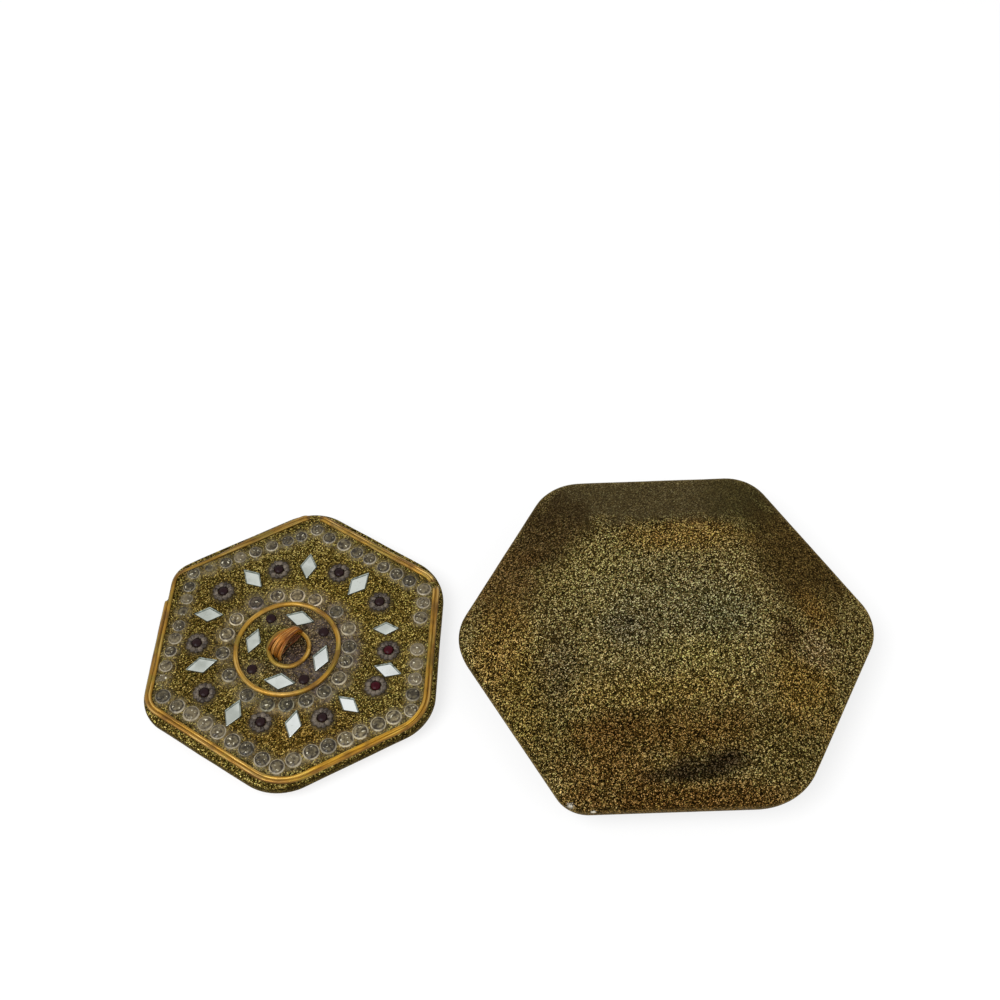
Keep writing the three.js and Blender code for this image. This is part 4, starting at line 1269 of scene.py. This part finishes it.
def knob():
    """One wire wound round and round into an upright loop, spread at one end and drawn in at the other."""
    centre = on_lid(middle("knob_loop")) + Vector((*KNOB_DRIFT, 0))
    turned = Matrix.Rotation(KNOB_DIRECTION, 4, "Z")
    points = []
    for strand in range(KNOB_STRANDS):
        for k in range(KNOB_STEPS if strand < KNOB_STRANDS - 1 else KNOB_STEPS * 6 // 10):
            turn = math.pi - k / KNOB_STEPS * 2 * math.pi
            aside = strand - (KNOB_STRANDS - 1) / 2 + k / KNOB_STEPS - 0.25
            spread = 0.66 * MM - 0.36 * MM * math.cos(turn)
            along = KNOB_HALF_SPAN * math.cos(turn)
            up = KNOB_LIFT + KNOB_RISE * (1 - 0.03 * aside * aside) * max(0, math.sin(turn)) ** 0.75
            if math.sin(turn) < 0:
                up += KNOB_SUNK * math.sin(turn)
            points.append(Vector((along, aside * spread, face + up)))
    points[0].z -= KNOB_SUNK
    path = [turned @ p + Vector((centre.x, centre.y, 0)) for p in points]
    wire("knob_bundle", path, False, KNOB_STRAND_WIRE, 0.5 * MM, 5, copper_finish, "knob_loop",
         "copper_wire", 12)


# Stones

def cut_stone():
    """A round stone of unit radius: sixteen sides at the girdle and a star of eight facets on the crown."""
    def level(even, odd, height):
        return [
            Vector((*(unit(i / 16 * 2 * math.pi) * (odd if i % 2 else even)), height))
            for i in range(16)
        ]

    rings = [level(0.97, 0.97, 0.0), level(1.0, 1.0, 0.26), level(0.93, 0.93, 0.37), level(0.78, 0.74, 0.49),
             level(0.50, 0.38, 0.56)]
    # The star mark gives the crown's facets painted light and shade.
    marks = {
        "reach": ([(1.0, 1.0), (1.0, 1.0), (0.93, 0.93), (0.78, 0.74), (0.50, 0.38)], 1.0, 0.0),
        "star": ([(0.2, 0.2), (0.2, 0.2), (0.2, 0.2), (0.0, 0.4), (0.1, 1.0)], 0.2, 0.6),
    }
    vertices, faces = bridged(rings, start_tip=Vector((0, 0, 0)), end_tip=Vector((0, 0, 0.57)))
    made = piece("cut_stone", vertices, faces, None, [], [], smooth=False)
    for mark, (levels, low, high) in marks.items():
        values = [odd if i % 2 else even for even, odd in levels for i in range(16)] + [low, high]
        store(made.data, mark, values)
    return made


def set_on_lid(name, places, facing, values, node):
    """Copies of a stone or petal on places in the lid frame."""
    mesh = new_mesh(name, [to_lid @ Vector(place) for place in places])
    store(mesh, "facing", facing)
    made = new_object(name, mesh)
    grow(made, set_stones, values)
    settle(made, "lid", [node])


def stones(name, places, radius, seed, node, shape):
    """A row of stones, each with a turn of its own."""
    luck = random.Random(seed)
    facing = [luck.uniform(0, 6) for _ in places]
    set_on_lid(name, places, facing, {
        "Stone": shape, "Size": radius, "Size Spread": 0.035, "Tilt": 0.05, "Turn": 0.4,
        "Seed": seed, "Finish": stone_finish}, node)


PETALS = 12
PETAL_WIDTH = 0.90
PETAL_HEIGHT = 0.48
PETAL_SIZE = 0.74 * MM
PETAL_REACH = 1.84
PETAL_LIFT = 0.36 * MM


def petal():
    """One petal, a small oval drop of glass, long along X."""
    rings = []
    for k in range(1, 6):
        turn = k / 6 * math.pi - math.pi / 2
        radius, height = math.cos(turn), PETAL_HEIGHT * math.sin(turn)
        around = [i / 10 * 2 * math.pi for i in range(10)]
        rings.append([
            Vector((radius * math.cos(a), PETAL_WIDTH * radius * math.sin(a), height)) for a in around])
    tips = {"start_tip": Vector((0, 0, -PETAL_HEIGHT)), "end_tip": Vector((0, 0, PETAL_HEIGHT))}
    vertices, faces = bridged(rings, **tips)
    made = piece("petal", vertices, faces, None, [], [])
    store(made.data, "reach", [0.5 + 0.5 * v.x for v in vertices])
    return made


def rosette(index, node, shape):
    """Petals round a bead."""
    centre = on_lid(middle(node))
    places, facing = [], []
    luck = random.Random(40 + index)
    start = luck.uniform(0, 1)
    for k in range(PETALS):
        turn = start + k / PETALS * 2 * math.pi + luck.uniform(-0.05, 0.05)
        reach = (PETAL_REACH + luck.uniform(-0.08, 0.08)) * MM
        x, y = centre.x + reach * math.cos(turn), centre.y + reach * math.sin(turn)
        places.append((x, y, face + PETAL_LIFT))
        facing.append(turn + LID_TURN)
    set_on_lid("petals_" + node[-2:], places, facing, {
        "Stone": shape, "Size": PETAL_SIZE, "Size Spread": 0.06, "Tilt": 0.08, "Turn": 0.1,
        "Seed": 60 + index, "Finish": petal_finish}, node)


def bead(index, node):
    """A cut bead: an eight-sided button with a small table."""
    centre = on_lid(middle(node))
    luck = random.Random(80 + index)
    start = luck.uniform(0, 1)
    slim = 1.0 if node.startswith("medallion") else 0.9
    levels = [(1.0, 0.05), (1.20, 0.34), (1.22, 0.46), (1.04, 0.70), (0.70, 0.86), (0.3, 0.90)]
    turns = [start + i / 16 * 2 * math.pi for i in range(16)]
    rings = []
    for radius, height in levels:
        reaches = [slim * radius * MM * (1 - 0.03 * (i % 2)) for i in range(16)]
        rings.append([
            Vector((centre.x + reach * math.cos(turn), centre.y + reach * math.sin(turn), face + height * MM))
            for reach, turn in zip(reaches, turns)])
    low = Vector((centre.x, centre.y, face))
    high = Vector((centre.x, centre.y, face + 0.89 * MM))
    vertices, faces = bridged(rings, start_tip=low, end_tip=high)
    red = node in red_beads
    finish = red_bead_finish if red else dark_bead_finish
    made = piece("cut_" + node, vertices, faces, "lid", [node], [finish], place=to_lid)
    smooth_by_angle(made, 28)


def mirror(index, node):
    """A diamond of looking-glass with a ground bevel. Through the glass its silvering looks shifted."""
    centre, far, side = diamond(node)
    luck = random.Random(120 + index)
    top = (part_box(node)[1].z - face) * 0.62
    levels = [
        (0.99, 0.0, 0), (1.0, 0.04 * MM, 0), (1.0, 0.82 * top, 0), (0.975, 0.90 * top, 0),
        (0.91, 0.97 * top, 0.8), (0.865, 0.92 * top, 1), (0.845, 0.98 * top, 1),
    ]
    chips = [MIRROR_GROWTH[index] * (1 - luck.uniform(0.0, 0.03)) for _ in range(4)]
    corners = [corner * chip for corner, chip in zip((far, side, -far, -side), chips)]
    shift = Vector((0.05 + luck.uniform(-0.06, 0.06), -0.27 + luck.uniform(-0.04, 0.04))) * MM
    rings = []
    for size, height, share in levels:
        points = []
        for k, corner in enumerate(corners):
            for neighbour in (corners[k - 1], corners[(k + 1) % 4]):
                points.append(centre + corner.lerp(neighbour, 0.03) * size + shift * share)
        rings.append([Vector((p.x, p.y, face + height)) for p in points])
    low = Vector((centre.x, centre.y, face))
    high = Vector((centre.x + shift.x, centre.y + shift.y, face + 0.98 * top))
    vertices, faces = bridged(rings, start_tip=low, end_tip=high)
    made = piece("glass_" + node, vertices, faces, "lid", [node],
                 [mirror_finish, bevel_finish, mirror_edge_finish], smooth=False, place=to_lid)
    count = len(rings[0])
    for k in range(len(levels) - 1):
        kind = (2, 2, 2, 1, 2, 0)[k]
        for i in range(count):
            made.data.polygons[k * count + i].material_index = kind


# Camera, light and floor

LENS = 48.5
CAMERA_PLACE = (2.87 * MM, -146.0 * MM, 272.6 * MM)
CAMERA_HEADING = math.radians(1.07)
CAMERA_DOWN = math.radians(54.956)
CAMERA_ROLL = math.radians(-2.95)
SENSOR = 36
NEAREST = 10 * MM
LAMPS = [("key", (-0.35, -0.25, 0.75), 0.55, 5.0), ("fill", (0.5, -0.35, 0.5), 0.6, 1.2)]
WORLD_LIGHT = 0.62
FLOOR_REACH = 1.5
FLOOR_DROP = 0.02 * MM
FADE_START = 0.25
FADE_END = 0.9
NEAR_GLOW = 0.72


def camera():
    """The camera that took the photo, as near as its place could be found."""
    data = bpy.data.cameras.new("camera")
    data.lens = LENS
    data.sensor_width = SENSOR
    data.clip_start = NEAREST
    made = new_object("camera", data)
    level = Matrix.Rotation(CAMERA_HEADING, 4, "Z") @ Matrix.Rotation(math.pi / 2 - CAMERA_DOWN, 4, "X")
    made.matrix_world = Matrix.Translation(CAMERA_PLACE) @ level @ Matrix.Rotation(CAMERA_ROLL, 4, "Z")
    bpy.context.scene.camera = made


def lamp(name, place, size, power):
    """A round lamp that points at the middle of the part."""
    data = bpy.data.lights.new(name, "AREA")
    data.shape = "DISK"
    data.size = size
    data.energy = power
    made = new_object(name, data)
    made.location = place
    made.rotation_mode = "QUATERNION"
    made.rotation_quaternion = (-Vector(place)).to_track_quat("-Z", "Y")


def seen(graph):
    """1 for rays that see the background: from the camera, in a reflection or through glass."""
    path = graph.node("ShaderNodeLightPath")
    return graph.clamp(path["Is Camera Ray"] + path["Is Glossy Ray"] + path["Is Transmission Ray"])


def surroundings():
    world = bpy.data.worlds.new("studio")
    bpy.context.scene.world = world
    world.use_nodes = True
    graph = Graph(world.node_tree)
    soft = graph.node("ShaderNodeBackground", {}, {"Color": (1, 1, 1, 1), "Strength": WORLD_LIGHT})
    white = graph.node("ShaderNodeBackground", {}, {"Color": (1, 1, 1, 1), "Strength": 1.0})
    both = graph.node("ShaderNodeMixShader", {}, {0: seen(graph), 1: soft[0], 2: white[0]})
    graph.node("ShaderNodeOutputWorld", {}, {"Surface": both[0]})


def floor():
    """White floor just below the part. Far away it glows as brightly as the background."""
    around = ((-1, -1), (1, -1), (1, 1), (-1, 1))
    corners = [(x * FLOOR_REACH, y * FLOOR_REACH, -FLOOR_DROP) for x, y in around]
    mesh = new_mesh("floor", corners, faces=[(0, 1, 2, 3)])
    made = new_object("floor", mesh)
    pale, graph = material("pale_floor")
    diffuse = graph.node("ShaderNodeBsdfDiffuse", {}, {"Color": (0.93, 0.93, 0.93, 1)})
    glow = graph.node("ShaderNodeEmission", {}, {"Color": (1, 1, 1, 1), "Strength": 1.02})
    away = graph.length(graph.node("ShaderNodeTexCoord")["Object"])
    share = NEAR_GLOW + graph.ramp(away, FADE_START, FADE_END) * (1 - NEAR_GLOW)
    both = graph.node("ShaderNodeMixShader", {}, {0: seen(graph) * share, 1: diffuse[0], 2: glow[0]})
    graph.node("ShaderNodeOutputMaterial", {}, {"Surface": both[0]})
    mesh.materials.append(pale)


def build():
    base_lac()
    base_wood()
    lid_lac()
    lid_board()
    border_wires()
    ring_wires()
    knob()
    stone = cut_stone()
    for index, places in enumerate(rows):
        node = f"stone_row_{index + 1}"
        stones(f"border_stones_{index + 1}", places, STONE_RADII[index], 200 + index, node, stone)
    stones("ring_stones", medallion_stone_places, MEDALLION_STONE_RADIUS, 210, "medallion_stones", stone)
    leaf = petal()
    for index, node in enumerate(rosette_names):
        rosette(index, node, leaf)
    for index, node in enumerate(bead_names):
        bead(index, node)
    for index, node in enumerate(mirror_names):
        mirror(index, node)
    bpy.data.objects.remove(stone)
    bpy.data.objects.remove(leaf)


build()
camera()
surroundings()
for values in LAMPS:
    lamp(*values)
floor()
bpy.context.scene.view_settings.view_transform = "Standard"
